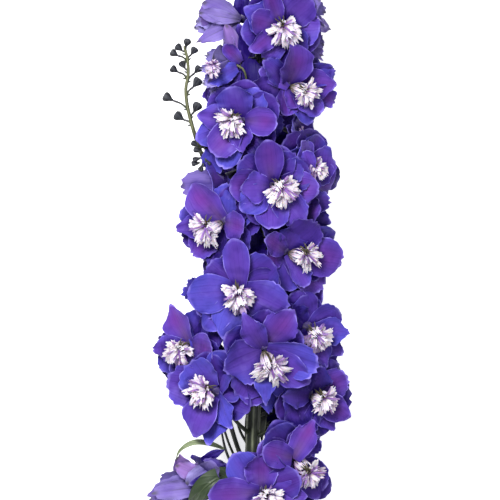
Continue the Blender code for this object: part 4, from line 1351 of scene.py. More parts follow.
def tube_along(path: list, radii: list, sides: int, rings: int, finish: Finish,
               grooves: float = 0.0, hollow: float = 0.0, rounded: bool = True) -> bpy.types.Object:
    """A stalk along a path.

    Args:
        path: points that it runs through.
        radii: its radius at each of them.
        sides: how many sides it has.
        rings: how many rings it is cut in.
        finish: its finish.
        grooves: how deep the grooves between its ribs are, as a share of its radius.
        hollow: how deep its far end is dished.
        rounded: whether its ends are drawn in.

    Returns:
        The stalk.
    """
    pattern = SHOP.pattern(Shape.TUBE, sides, rings)
    flat = grid([v.co for v in pattern.data.vertices])
    share = flat[:, 2] / rings
    knots = grid(path)
    steps = np.concatenate([[0.0], np.cumsum(np.linalg.norm(np.diff(knots, axis=0), axis=1))])
    fine = np.linspace(0, steps[-1], 8 * len(path) + 1)
    smooth = curve_points(steps, knots, fine)
    here = straight_points(fine, smooth, share * steps[-1])
    tangent = unit_rows(straight_points(fine, np.gradient(smooth, fine, axis=0), share * steps[-1]))
    main = (knots[-1] - knots[0]) / np.linalg.norm(knots[-1] - knots[0])
    guide = np.cross(main, (0.0, 0.0, 1.0) if abs(main[2]) < 0.9 else (1.0, 0.0, 0.0))
    first = unit_rows(guide - tangent * (tangent @ guide)[:, None])
    second = np.cross(tangent, first)
    radius = np.interp(share * steps[-1], steps, radii)
    turn = np.arctan2(flat[:, 1], flat[:, 0])
    radius = radius * (1 - grooves * (0.5 + 0.5 * np.cos(RIB_COUNT * turn)))
    inner = np.hypot(flat[:, 0], flat[:, 1]) < 1.0 - 0.5 * TUBE_INSET
    if rounded:
        radius = radius * np.where(inner, 0.75, 1.0)
        radius = radius * np.where((share > 0.999) | (share < 0.001), 0.8, 1.0)
    points = here + first * (radius * flat[:, 0])[:, None] + second * (radius * flat[:, 1])[:, None]
    points -= tangent * (hollow * inner)[:, None]
    marks = {"stalk": rows_of(turn, share, inner * (not rounded))}
    return copy_of(pattern, points, marks, finish)


def curve_through(stations: np.ndarray, values: np.ndarray, wanted: np.ndarray) -> np.ndarray:
    """Values of a smooth curve.

    Args:
        stations: places that the curve has values for.
        values: its values there.
        wanted: other places.

    Returns:
        The values at those places.
    """
    if len(stations) < 3:
        return np.interp(wanted, stations, values)
    slopes = np.gradient(values, stations)
    index = np.clip(np.searchsorted(stations, wanted) - 1, 0, len(stations) - 2)
    width = stations[index + 1] - stations[index]
    t = (wanted - stations[index]) / width
    first = (1 + 2 * t) * (1 - t) ** 2 * values[index] + t * (1 - t) ** 2 * width * slopes[index]
    return first + t * t * (3 - 2 * t) * values[index + 1] + t * t * (t - 1) * width * slopes[index + 1]


def curve_points(stations: np.ndarray, points: np.ndarray, wanted: np.ndarray) -> np.ndarray:
    """Points of a smooth curve through points at stations."""
    return np.stack([curve_through(stations, column, wanted) for column in points.T], axis=1)


def straight_points(stations: np.ndarray, points: np.ndarray, wanted: np.ndarray) -> np.ndarray:
    """Points of straight lines between points at stations."""
    return np.stack([np.interp(wanted, stations, column) for column in points.T], axis=1)


def bud_at(root: Vector, along: Vector, length: float, thickness: float, finish: Finish,
           folds: float = 0.05, blunt: float = 0.0) -> bpy.types.Object:
    """A closed bud.

    Args:
        root: where its foot is.
        along: the way that it points.
        length: its length.
        thickness: its greatest thickness.
        finish: its finish.
        folds: how deep the seams between its sepals are, as a share of its radius.
        blunt: how far its fullest part is moved to the tip, as a share of its length.

    Returns:
        The bud.
    """
    pattern = SHOP.pattern(Shape.BALL, 20, 12)
    flat = grid([v.co for v in pattern.data.vertices])
    share = 0.5 + 0.5 * flat[:, 2]
    turn = np.arctan2(flat[:, 1], flat[:, 0])
    ring = np.hypot(flat[:, 0], flat[:, 1])
    belly = 0.62 + 0.38 * np.sin(np.pi * np.clip(share - 0.5 * blunt, 0, 1))
    fullness = belly * (1 - blunt + 1.6 * blunt * share)
    ring = ring ** (1 + blunt * (0.9 - 1.5 * share))
    radius = 0.5 * thickness * ring * fullness * (1 - folds * (0.5 + 0.5 * np.cos(5 * turn)))
    side = along.orthogonal().normalized()
    points = np.array(root) + np.outer(share * length, along) + np.outer(radius * np.cos(turn), side)
    points += np.outer(radius * np.sin(turn), along.cross(side))
    points[:, 2] = np.maximum(points[:, 2], 0.1)
    return copy_of(pattern, points, {"stalk": rows_of(turn, share, 0.0)}, finish)


def leaflet(root: Vector, tip: Vector, width: float, finish: Finish) -> bpy.types.Object:
    """A tiny pointed leaf that carries a stalk's marks.

    Args:
        root: where it starts.
        tip: where it ends.
        width: its greatest width.
        finish: its finish.

    Returns:
        The leaflet.
    """
    blade = Blade.upward(root, tip, width, 0.08, 0.2, 0.0, 0.7, 0.3)
    maker = SheetMaker(Layer.TONGUE)
    points = maker.bend(blade, Edge(ruffle=0.0, teeth=0.0, crease=0.0, point=1.0), 0.35)
    return maker.copy(points, finish, 0.0, mark="stalk")


def drawn_form(draw: random.Random) -> tuple[float, float, float]:
    """A sepal's arch, cup and twist, drawn at random."""
    return draw.uniform(-0.02, 0.07), draw.uniform(0.05, 0.28), draw.uniform(-0.35, 0.35)


@dataclass
class SepalPlan:
    """Where a floret's sepals are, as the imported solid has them.

    Of the lifts and reaches that are tried, a sepal has the one whose corners match the most of the solid's.
    """

    floret: Floret
    thickness: float = 1.3
    fullness: float = 1.1
    root_reach: float = 1.6
    upper_sunk: float = 1.1
    lower_sunk: float = 3.9
    longest: float = 34.0
    least_shown: float = 0.72
    lifts: tuple = (0, -5, 5, -10, 10, -16, 16, -22, 22, -29, 29, -36, 36)
    reaches: tuple = (1.0, 0.92, 0.84, 0.74)
    corner_match: float = 0.06
    tip_match: float = 4.0

    def seen_direction(self, direction: float, lift: float) -> Vector:
        """The line that shows at a direction from above, lifted over the plane across the facing.

        Args:
            direction: degrees from the right, as seen from above.
            lift: degrees over the plane.

        Returns:
            The line, one unit long as it shows.
        """
        facing = self.floret.way()
        c, s = math.cos(math.radians(direction)), math.sin(math.radians(direction))
        rise = min(math.sin(math.radians(lift)), facing.z - 0.15)
        lean = c * facing.x + s * facing.y
        root = math.sqrt(max(facing.z ** 2 + lean ** 2 - rise ** 2, 0.0))
        return Vector((c, s, (rise * root - lean * facing.z) / (facing.z ** 2 - rise ** 2)))

    def blade_to(self, sepal: Sepal, tip: Vector, form: tuple) -> Blade:
        """A sepal from its ring on the core to its tip.

        Args:
            sepal: the sepal.
            tip: where its tip is.
            form: its arch, cup and twist.

        Returns:
            Its plain form.
        """
        core, facing, size = self.floret.core(), self.floret.way(), self.floret.size
        outward = (tip - core) - facing * facing.dot(tip - core)
        sunk = self.upper_sunk if sepal.lift >= UPPER_LIFT else self.lower_sunk
        root = core - facing * (sunk * size) + outward.normalized() * (self.root_reach * size)
        along = (tip - root).normalized()
        face = (facing - along * facing.dot(along)).normalized()
        return Blade(root, along, face, (tip - root).length, sepal.width * self.fullness, *form)

    def seen(self, sepal: Sepal, lift: float, reach: float, form: tuple) -> Blade:
        """A sepal placed by how it shows from above.

        Args:
            sepal: the sepal.
            lift: degrees more than its own lift.
            reach: how much further it reaches than its own reach.
            form: its arch, cup and twist.

        Returns:
            Its plain form.
        """
        line = self.seen_direction(sepal.direction, sepal.lift + lift)
        tip = self.floret.core() + line.normalized() * min(sepal.reach * reach * line.length, self.longest)
        blade = self.blade_to(sepal, tip, form)
        shown = abs(blade.face.cross(blade.along).dot(Vector((-line.y, line.x, 0))))
        return replace(blade, width=blade.width / max(shown, self.least_shown))

    def ringed(self, sepal: Sepal, lift: float, reach: float, form: tuple) -> Blade:
        """A sepal placed round the core by its direction in the floret's own plane.

        Args:
            sepal: the sepal.
            lift: degrees more than its own lift.
            reach: how much further it reaches than its own reach.
            form: its arch, cup and twist.

        Returns:
            Its plain form.
        """
        facing = self.floret.way()
        right = Vector((0, 1, 0)).cross(facing).normalized()
        up = facing.cross(right)
        turn, rise = math.radians(sepal.direction), math.radians(sepal.lift + lift)
        flat = right * math.cos(turn) + up * math.sin(turn)
        tip = self.floret.core() + (flat * math.cos(rise) + facing * math.sin(rise)) * (sepal.reach * reach)
        return self.blade_to(sepal, tip, form)

    def regular(self, draw: random.Random) -> list[Sepal]:
        """Sepals at even turns.

        Args:
            draw: the floret's random draws.

        Returns:
            The sepals.
        """
        floret = self.floret
        first = draw.uniform(0, 360)
        sepals = []
        for i in range(floret.count):
            direction = first + 360 * i / floret.count + draw.uniform(-6, 6)
            reach = floret.size * draw.uniform(28, 32)
            width = floret.size * draw.uniform(17, 21)
            sepals.append(Sepal(direction, reach, width, floret.lift + (8 if i % 2 else -2)))
        return sepals

    def corners(self, blade: Blade, rings: int) -> np.ndarray:
        """The corners of the solid that stands for a blade, but for its root.

        Args:
            blade: the plain form.
            rings: how many lengths the solid is cut in.

        Returns:
            A row for each corner, the tip last.
        """
        polar = np.pi * np.arange(1, rings) / rings
        v = np.concatenate([np.repeat(0.5 - 0.5 * np.cos(polar), 4), [1.0]])
        u = np.concatenate([np.tile([1.0, -1.0, 0.0, 0.0], rings - 1), [0.0]])
        over = np.concatenate([(np.sin(polar)[:, None] * [0.0, 0.0, 1.0, -1.0]).ravel(), [0.0]])
        half = 0.5 * blade.width * plain_outline(v, blade.claw, blade.widest)
        return warp(blade, half * u, v, half * blade.cup * u * u, 0.5 * self.thickness * over)

    def blades(self) -> list[tuple[Sepal, Blade]]:
        """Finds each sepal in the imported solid.

        Returns:
            Each sepal with the plain form that the solid has.
        """
        floret = self.floret
        draw = random.Random(floret.name)
        sepals = floret.sepals or floret.ring or self.regular(draw)
        put = self.seen if floret.sepals else self.ringed
        rings = 4 if floret.sepals or floret.ring else 3
        packed = bpy.data.objects[floret.name].data
        tree = KDTree(len(packed.vertices))
        for i, vertex in enumerate(packed.vertices):
            tree.insert(vertex.co / MM, i)
        tree.balance()
        found = []
        for sepal in sepals:
            form = drawn_form(draw)
            best, most = None, 0
            for reach in self.reaches:
                for lift in self.lifts:
                    blade = put(sepal, lift, reach, form)
                    corners = self.corners(blade, rings)
                    if tree.find(corners[-1])[2] > self.tip_match:
                        continue
                    hits = sum(1 for corner in corners if tree.find(corner)[2] < self.corner_match)
                    if hits > most:
                        best, most = blade, hits
            if best:
                found.append((sepal, best))
            else:
                LOG.info("%s has no sepal at %s", floret.name, sepal.direction)
        return found


class Room:
    """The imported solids, to see whether a further sepal is clear of its neighbours."""

    def __init__(self, nodes: dict) -> None:
        """Makes a tree for each node.

        Args:
            nodes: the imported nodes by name.
        """
        self.trees = []
        for name, node in nodes.items():
            points = [v.co / MM for v in node.data.vertices]
            faces = [tuple(p.vertices) for p in node.data.polygons]
            self.trees.append((name, BVHTree.FromPolygons(points, faces)))

    def meets(self, owner: str, sheet: tuple[list, list]) -> int:
        """How many faces of a sheet meet a node that isn't its owner's."""
        tree = BVHTree.FromPolygons(*sheet)
        return sum(len(tree.overlap(other)) for name, other in self.trees if name != owner)

    def fill(self, name: str, sheet: tuple[list, list]) -> None:
        """Adds a sheet to what others keep clear of."""
        self.trees.append((name, BVHTree.FromPolygons(*sheet)))


@dataclass
class Bloom:
    """A floret's sepals, its receptacle and its spur.

    Further sepals go under its own, in gaps of at least so many degrees, at the reach and lift of those that
    are tried where they meet the fewest faces of neighbours, and not where they meet too many.
    """

    floret: Floret
    room: Room
    least_gap: float = 34
    under_reach: float = 25
    under_width: float = 19
    under_lift: float = -6
    under_claw: float = 0.5
    reaches: tuple = (1.0, 0.85, 0.7)
    lifts: tuple = (0, -6, 6, -12, 12, -20, 20, -30, 30)
    most_meets: int = 6

    def __post_init__(self) -> None:
        """Sets out the floret's plan, the sheet that its sepals are cut from and its own random draws."""
        shown = self.floret.sepals or self.floret.ring
        self.plan = SepalPlan(self.floret)
        self.maker = SheetMaker(Layer.FRONT if shown else Layer.HIDDEN)
        self.draw = random.Random("fine " + self.floret.name)

    def build(self) -> bpy.types.Object:
        """Builds the floret and stands it for its node.

        Returns:
            The floret's piece.
        """
        floret = self.floret
        parts = [self.sepal(sepal, blade) for sepal, blade in self.plan.blades()]
        if floret.sepals:
            parts += self.under_ring()
        parts += [self.stray(sepal) for sepal in STRAY_SEPALS.get(floret.name, ())]
        parts.append(self.receptacle())
        if not floret.bee and floret.name not in PALE_BACKS:
            parts += self.tuft()
        if floret.name in EDGE_BEES:
            parts += self.edge_bee()
        piece = joined(parts, f"{floret.name}_sepals")
        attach(piece, "root")
        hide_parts(floret.name)
        return piece

    def sepal(self, sepal: Sepal, blade: Blade) -> bpy.types.Object:
        """One fine sepal.

        Args:
            sepal: the sepal's place.
            blade: its plain form.

        Returns:
            The sepal.
        """
        draw = self.draw
        upper = max(0.0, math.sin(math.radians(sepal.direction)))
        # painted shade: lower sepals are drawn darker than upper ones
        shade = draw.uniform(0.15, 0.5) if sepal.lift < UPPER_LIFT else draw.uniform(0.0, 0.2)
        tones = (min(1.0, draw.uniform(0.0, 0.6) + 0.55 * upper ** 3), draw.uniform(-0.5, 0.6), shade)
        way = self.floret.way()
        spin = Matrix.Rotation(math.radians(sepal.turn), 3, way)
        spin = Matrix.Rotation(math.radians(sepal.rise), 3, (spin @ blade.along).cross(way)) @ spin
        core = self.floret.core()
        longer = sepal.long * SHORTER.get(self.floret.name, 1.0)
        fine = replace(blade, width=blade.width * sepal.full, claw=draw.uniform(0.4, 0.55),
                       widest=draw.uniform(0.50, 0.60), length=blade.length * longer,
                       root=core + spin @ (blade.root - core), along=spin @ blade.along,
                       face=spin @ blade.face)
        drawn = draw.choice((0.0, 0.0, 0.2, 0.5))
        return self.dressed(fine, sepal.tone.value if sepal.tone else tones, self.floret.name in PALE_BACKS,
                            drawn if sepal.point < 0 else sepal.point, curl=sepal.curl)

    def stray(self, sepal: Stray) -> bpy.types.Object:
        """One sepal that is placed by its pixels."""
        blade, tones = sepal.blade(), sepal.tone.value
        return self.dressed(blade, tones, sepal.back, sepal.point, sepal.frill, sepal.curl)

    def dressed(self, blade: Blade, tones: tuple, back: bool, point: float, frill: float = 0.0,
                curl: Optional[float] = None) -> bpy.types.Object:
        """A fine sepal with its own waves and its marks for the finish.

        Args:
            blade: the plain form.
            tones: its magenta blush, how blue it is, and how deep its shade is.
            back: whether both its sides have the paler finish of a back.
            point: how pointed its tip is.
            frill: how much more it is toothed and waved than others.
            curl: how far its tip bends up, or none for a curl drawn at random.

        Returns:
            The sepal.
        """
        draw = self.draw
        drawn = draw.uniform(-0.4, 0.35)
        edge = Edge(ruffle=draw.uniform(0.4, 1.4) + frill, waves=draw.uniform(2.5, 6.0),
                    phase=draw.uniform(0, 6.28),
                    teeth=draw.choice((0.0, 0.012, 0.025, 0.04)) + 0.06 * frill,
                    tooth_count=draw.uniform(5, 11), crease=draw.uniform(0.2, 0.7),
                    curl=drawn if curl is None else curl,
                    notch=draw.choice((0.0, 0.0, 0.04)), point=point, fold=draw.uniform(0.05, 0.35))
        points = self.maker.bend(blade, edge, FINE_SEPAL)
        blush, blue, shade = tones
        finish = SEPAL_BACK if back else SEPAL_INSIDE
        return self.maker.copy(points, finish, blush, (blue, shade, draw.random()))

    def under_ring(self) -> list:
        """Lower sepals between the floret's own, each where it is clearest of other florets.

        Returns:
            The sepals.
        """
        name, size, draw = self.floret.name, self.floret.size, self.draw
        turns = sorted(sepal.direction % 360 for sepal in self.floret.sepals)
        parts = []
        for here, there in zip(turns, turns[1:] + [turns[0] + 360]):
            left_open = any(here < gap < there for gap in OPEN_GAPS.get(name, ()))
            if there - here < self.least_gap or left_open or name in NO_UNDER_RING:
                continue
            reach, width = self.under_reach * size, self.under_width * size
            sepal = Sepal(0.5 * (here + there), reach, width, self.under_lift)
            form = drawn_form(draw)
            tries = [self.plan.seen(sepal, lift, reach, form)
                     for reach in self.reaches for lift in self.lifts]
            meets = [self.room.meets(name, self.coarse(blade)) for blade in tries]
            least = min(meets)
            if least > self.most_meets:
                continue
            blade = tries[meets.index(least)]
            self.room.fill(name, self.coarse(blade))
            blade = replace(blade, claw=self.under_claw, widest=STRAY_WIDEST)
            # painted shade: the lower sepals get a deeper tone of shade
            tones = (draw.uniform(0.0, 0.5), draw.uniform(-0.3, 0.3), draw.uniform(0.35, 0.6))
            parts.append(self.dressed(blade, tones, False, 0.0))
        return parts

    def coarse(self, blade: Blade) -> tuple[list, list]:
        """A blade as a coarse sheet, to see what it meets.

        Args:
            blade: the plain form.

        Returns:
            The sheet's points and faces.
        """
        rows, columns = 8, 5
        v, u = np.meshgrid(np.linspace(0.3, 1.0, rows), np.linspace(-1, 1, columns), indexing="ij")
        v, u = v.ravel(), u.ravel()
        x = 0.5 * blade.width * np.minimum(plain_outline(v, blade.claw, blade.widest), 1.0) * u
        points = warp(blade, x, v, blade.cup * x * u, x * 0)
        corners = (0, 1, columns + 1, columns)
        faces = [tuple(columns * i + j + corner for corner in corners)
                 for i in range(rows - 1) for j in range(columns - 1)]
        return [Vector(p) for p in points], faces

    def receptacle(self) -> bpy.types.Object:
        """The core with its spur.

        Returns:
            The core and spur in one.
        """
        size, core, spur = self.floret.size, self.floret.core(), self.floret.spur()
        path = [core + spur * (SPUR_LENGTH * size * share) for share, _ in SPUR_OUTLINE]
        radii = [radius * CORE_FRONT * size for _, radius in SPUR_OUTLINE]
        return tube_along(path, radii, 14, 14, SPUR_VIOLET)

    def tuft(self) -> list:
        """The small bee of a floret that hides it.

        Returns:
            Its petals.
        """
        floret = self.floret
        way = floret.way()
        lean = (Vector((0, -1, 0)) + way * way.y).normalized()
        return Tuft(floret.core() + way * (2.0 * floret.size), way, lean, floret.size, self.draw).small()

    def edge_bee(self) -> list:
        """A bee that shows its edge at the side of the spike.

        Returns:
            Its petals.
        """
        pixel, height, turn, size = EDGE_BEES[self.floret.name]
        way = Vector((math.sin(math.radians(turn)), 0, math.cos(math.radians(turn))))
        return Tuft(place(pixel, height), way, Vector((0, -1, 0)), size, self.draw, EDGE_LILAC).full()


class Tongue(Enum):
    """The kinds of petal in a bee: length, width, lift in degrees, notch and violet, each as a range."""

    FINGER = ((6.6, 10.4), (2.9, 4.5), (-6, 20), (0.1, 0.6), (0.0, 0.5))
    MIDDLE = ((4.6, 8.0), (2.3, 3.6), (12, 50), (0.1, 0.5), (0.0, 0.9))
    CREST = ((3.2, 5.4), (1.8, 3.0), (26, 74), (0.0, 0.4), (0.2, 1.0))
    STREAK = ((6.5, 9.5), (0.8, 1.4), (10, 46), (0.0, 0.0), (1.0, 1.0))
    STRAP = ((7.5, 10.0), (2.0, 2.8), (0, 1), (0.1, 0.4), (0.2, 0.8))


# The hands of petals in a bee that shows: their kind and how high they stand, and for each hand its turn in
# degrees, its count of petals and how far from the middle it stands
HANDS = (
    (Tongue.FINGER, 0.0, ((-80, 2, 1.4), (-36, 3, 2.0), (10, 2, 2.2), (44, 3, 2.0), (88, 2, 1.4))),
    (Tongue.MIDDLE, 0.8, ((-50, 2, 1.2), (4, 3, 1.6), (54, 2, 1.2))),
    (Tongue.CREST, 0.4, ((-128, 2, 0.8), (140, 2, 0.8))),
    (Tongue.STREAK, 0.5, tuple((turn, 1, 0.6) for turn in (-100, -48, 0, 30, 60, 112))),
)
SMALL_BEE_TURNS = (-150, -100, -50, 0, 50, 100, 150)


@dataclass
class Tuft:
    """Bee petals in lobed hands round a middle, longer on the side that the bee hangs to."""

    root: Vector
    axis: Vector
    lean: Vector
    size: float
    draw: random.Random
    lilac: float = 0.0

    def flat(self, turn: float) -> Vector:
        """The way across the bee at a turn in degrees from the side that it hangs to."""
        angle = math.radians(turn)
        return self.lean * math.cos(angle) + self.axis.cross(self.lean) * math.sin(angle)

    def tongue(self, kind: Tongue, turn: float, hub: Vector) -> bpy.types.Object:
        """One petal.

        Args:
            kind: the kind of petal.
            turn: degrees round the middle, from the side that the bee hangs to.
            hub: where it starts.

        Returns:
            The petal.
        """
        rise, flat = math.radians(self.draw.uniform(*kind.value[2])), self.flat(turn)
        along = flat * math.cos(rise) + self.axis * math.sin(rise)
        face = self.axis * math.cos(rise) - flat * math.sin(rise)
        return self.petal(kind, hub, along, face, 0.80 + 0.34 * max(0.0, math.cos(math.radians(turn))))

    def petal(self, kind: Tongue, hub: Vector, along: Vector, face: Vector,
              longer: float) -> bpy.types.Object:
        """One petal along a line.

        Args:
            kind: the kind of petal.
            hub: where it starts.
            along: the way that it runs.
            face: the way that it looks.
            longer: how much longer it is than others of its kind.

        Returns:
            The petal.
        """
        draw, maker = self.draw, SheetMaker(Layer.TONGUE)
        length, width, _, notch, violet = (draw.uniform(*span) for span in kind.value)
        length *= longer
        blade = Blade(hub, along, face, length * self.size, width * self.size, draw.uniform(0.0, 0.2),
                      draw.uniform(-0.5, 0.4), draw.uniform(-0.9, 0.9), 0.38, draw.uniform(0.62, 0.8))
        stout = width / length
        edge = Edge(ruffle=draw.uniform(0.1, 0.5), waves=draw.uniform(2, 5), phase=draw.uniform(0, 6.28),
                    teeth=draw.uniform(0.05, 0.20), tooth_count=draw.uniform(2.5, 5), crease=0.3,
                    curl=draw.uniform(-0.5, 0.15), notch=notch * stout, rounding=0.28 * stout,
                    dent=draw.uniform(0.2, 0.4), fold=draw.uniform(0.0, 0.2))
        points = maker.bend(blade, edge, FINE_TONGUE)
        shade = STREAK_SHADE if kind is Tongue.STREAK else draw.choice((0.0, 0.0, 0.12)) + self.lilac
        return maker.copy(points, BEE_PETAL, violet, (OLIVE_FOOT, shade, draw.random()))

    def hand(self, kind: Tongue, turn: float, count: int, out: float, up: float) -> list:
        """Petals that spread from one foot.

        Args:
            kind: the kind of petal.
            turn: degrees round the middle, from the side that the bee hangs to.
            count: how many petals it has.
            out: how far from the middle its foot is.
            up: how high its foot is.

        Returns:
            The petals.
        """
        draw = self.draw
        turn += draw.uniform(-12, 12)
        hub = self.root + self.flat(turn) * (out * self.size) + self.axis * (up * self.size)
        parts = []
        for i in range(count):
            spread = (i - 0.5 * (count - 1)) * draw.uniform(17, 27) + draw.uniform(-6, 6)
            parts.append(self.tongue(kind, turn + spread, hub))
        return parts

    def full(self) -> list:
        """Makes a bee that shows.

        Returns:
            All its petals.
        """
        parts = []
        for kind, up, hands in HANDS:
            for turn, count, out in hands:
                parts += self.hand(kind, turn, count, out, up)
        return parts

    def small(self) -> list:
        """The petals of a bee that hardly shows."""
        return [self.tongue(Tongue.MIDDLE, turn, self.root) for turn in SMALL_BEE_TURNS]


@dataclass
class Bee:
    """The pale bee in the middle of a floret, on its olive throat, with dark stamens in its mouth.

    It is turned up to the camera a little, and has straps over its throat, by their turns in degrees, where
    it leans far enough from the camera to show them.
    """

    floret: Floret
    scale: float
    right: float
    down: float
    stamens: int = 7
    reach: float = 12.0
    turned_up: float = 0.9
    throat_length: float = 6.5
    throat_shown: float = 4.8
    throat_back: float = 2.2
    throat_front: float = 2.9
    guides: int = 4
    strap_turns: tuple = (-78, -38, 0, 36, 76)
    strap_lean: float = 0.4

    def __post_init__(self) -> None:
        """Sets out the bee's own random draws."""
        self.draw = random.Random("bee " + self.floret.name)

    def axis(self) -> Vector:
        """The way that the bee points.

        Returns:
            A way that takes it to its pixel in the photograph's frame.
        """
        core = self.floret.core()
        offset = place(self.floret.bee, core.z) - core
        rise = math.sqrt(max(self.reach ** 2 - offset.length_squared, (0.4 * self.reach) ** 2))
        return (offset + Vector((0, 0, rise))).normalized()

    def build(self) -> bpy.types.Object:
        """Builds the bee and stands it for its node.

        Returns:
            The bee's piece.
        """
        floret = self.floret
        core, axis, level, size = floret.core(), self.axis(), -floret.spur(), floret.size
        tilt = math.sqrt(max(1 - axis.dot(level) ** 2, 0.0))
        base = core + level * (GAP + self.throat_back * size * tilt)
        mouth = base + axis * (self.throat_length * size)
        front = base + axis * (self.throat_shown * size)
        path = [base, base + axis * (1.8 * size), base + axis * (3.4 * size), front]
        radii = [self.throat_back * size * 0.9, self.throat_back * size, self.throat_front * size * 0.9,
                 self.throat_front * size]
        parts = [tube_along(path, radii, 16, 8, THROAT_OLIVE, 0.08, 1.6, False)]
        open_way = (axis + Vector((0, 0, self.turned_up))).normalized()
        hang = place(floret.bee, core.z) - core + Vector((0, -7.0, 0))
        lean = (hang - open_way * open_way.dot(hang)).normalized()
        heart = mouth - axis * 1.0 + Vector((self.right, -self.down, 0)) - lean * (2.2 * size * self.scale)
        tuft = Tuft(heart, open_way, lean, size * self.scale, self.draw)
        parts += tuft.full()
        up = Vector((0, 0, 1)) - axis * axis.z
        for turn in self.strap_turns if up.length > self.strap_lean else ():
            out = Matrix.Rotation(math.radians(turn), 3, axis) @ up.normalized()
            root = base + axis * (1.0 * size) + out * (self.throat_back * size)
            parts.append(tuft.petal(Tongue.STRAP, root, (axis + out * 0.16).normalized(), out, 1.0))
        parts += self.filaments(heart - open_way * 0.6 - lean * 1.2, open_way)
        parts += [self.guide(heart, lean, open_way) for _ in range(self.guides)]
        piece = joined(parts, floret.name.replace("floret", "bee") + "_petals")
        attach(piece, "root")
        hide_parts(floret.name.replace("floret", "bee"))
        return piece

    def guide(self, heart: Vector, lean: Vector, axis: Vector) -> bpy.types.Object:
        """A dark ridge that runs from the bee's middle over its petals.

        Args:
            heart: the bee's middle.
            lean: the way that the bee hangs.
            axis: the way that it opens.

        Returns:
            The ridge.
        """
        angle = math.radians(self.draw.uniform(-34, 34))
        back = lean * math.cos(angle) + axis.cross(lean) * math.sin(angle)
        reach = self.draw.uniform(3.2, 6.0) * self.floret.size
        path = [heart + axis * 1.6, heart - back * (0.5 * reach) + axis * 2.3,
                heart - back * reach + axis * 1.2, heart - back * (1.2 * reach)]
        return tube_along(path, [0.5, 0.45, 0.35, 0.2], 6, 8, THROAT_OLIVE)

    def filaments(self, root: Vector, axis: Vector) -> list:
        """Thin dark stamens with thicker heads.

        Args:
            root: where they start.
            axis: the way that they point.

        Returns:
            The stamens.
        """
        side = axis.orthogonal().normalized()
        other = axis.cross(side)
        parts = []
        for i in range(self.stamens):
            turn = 2 * math.pi * i / self.stamens + self.draw.uniform(-0.3, 0.3)
            lean = side * math.cos(turn) + other * math.sin(turn)
            path = [root + lean * 0.5, root + lean * 1.0 + axis * 1.6, root + lean * 1.5 + axis * 2.9,
                    root + lean * 1.4 + axis * 3.6]
            parts.append(tube_along(path, [0.25, 0.25, 0.5, 0.35], 6, 6, THROAT_OLIVE))
        return parts


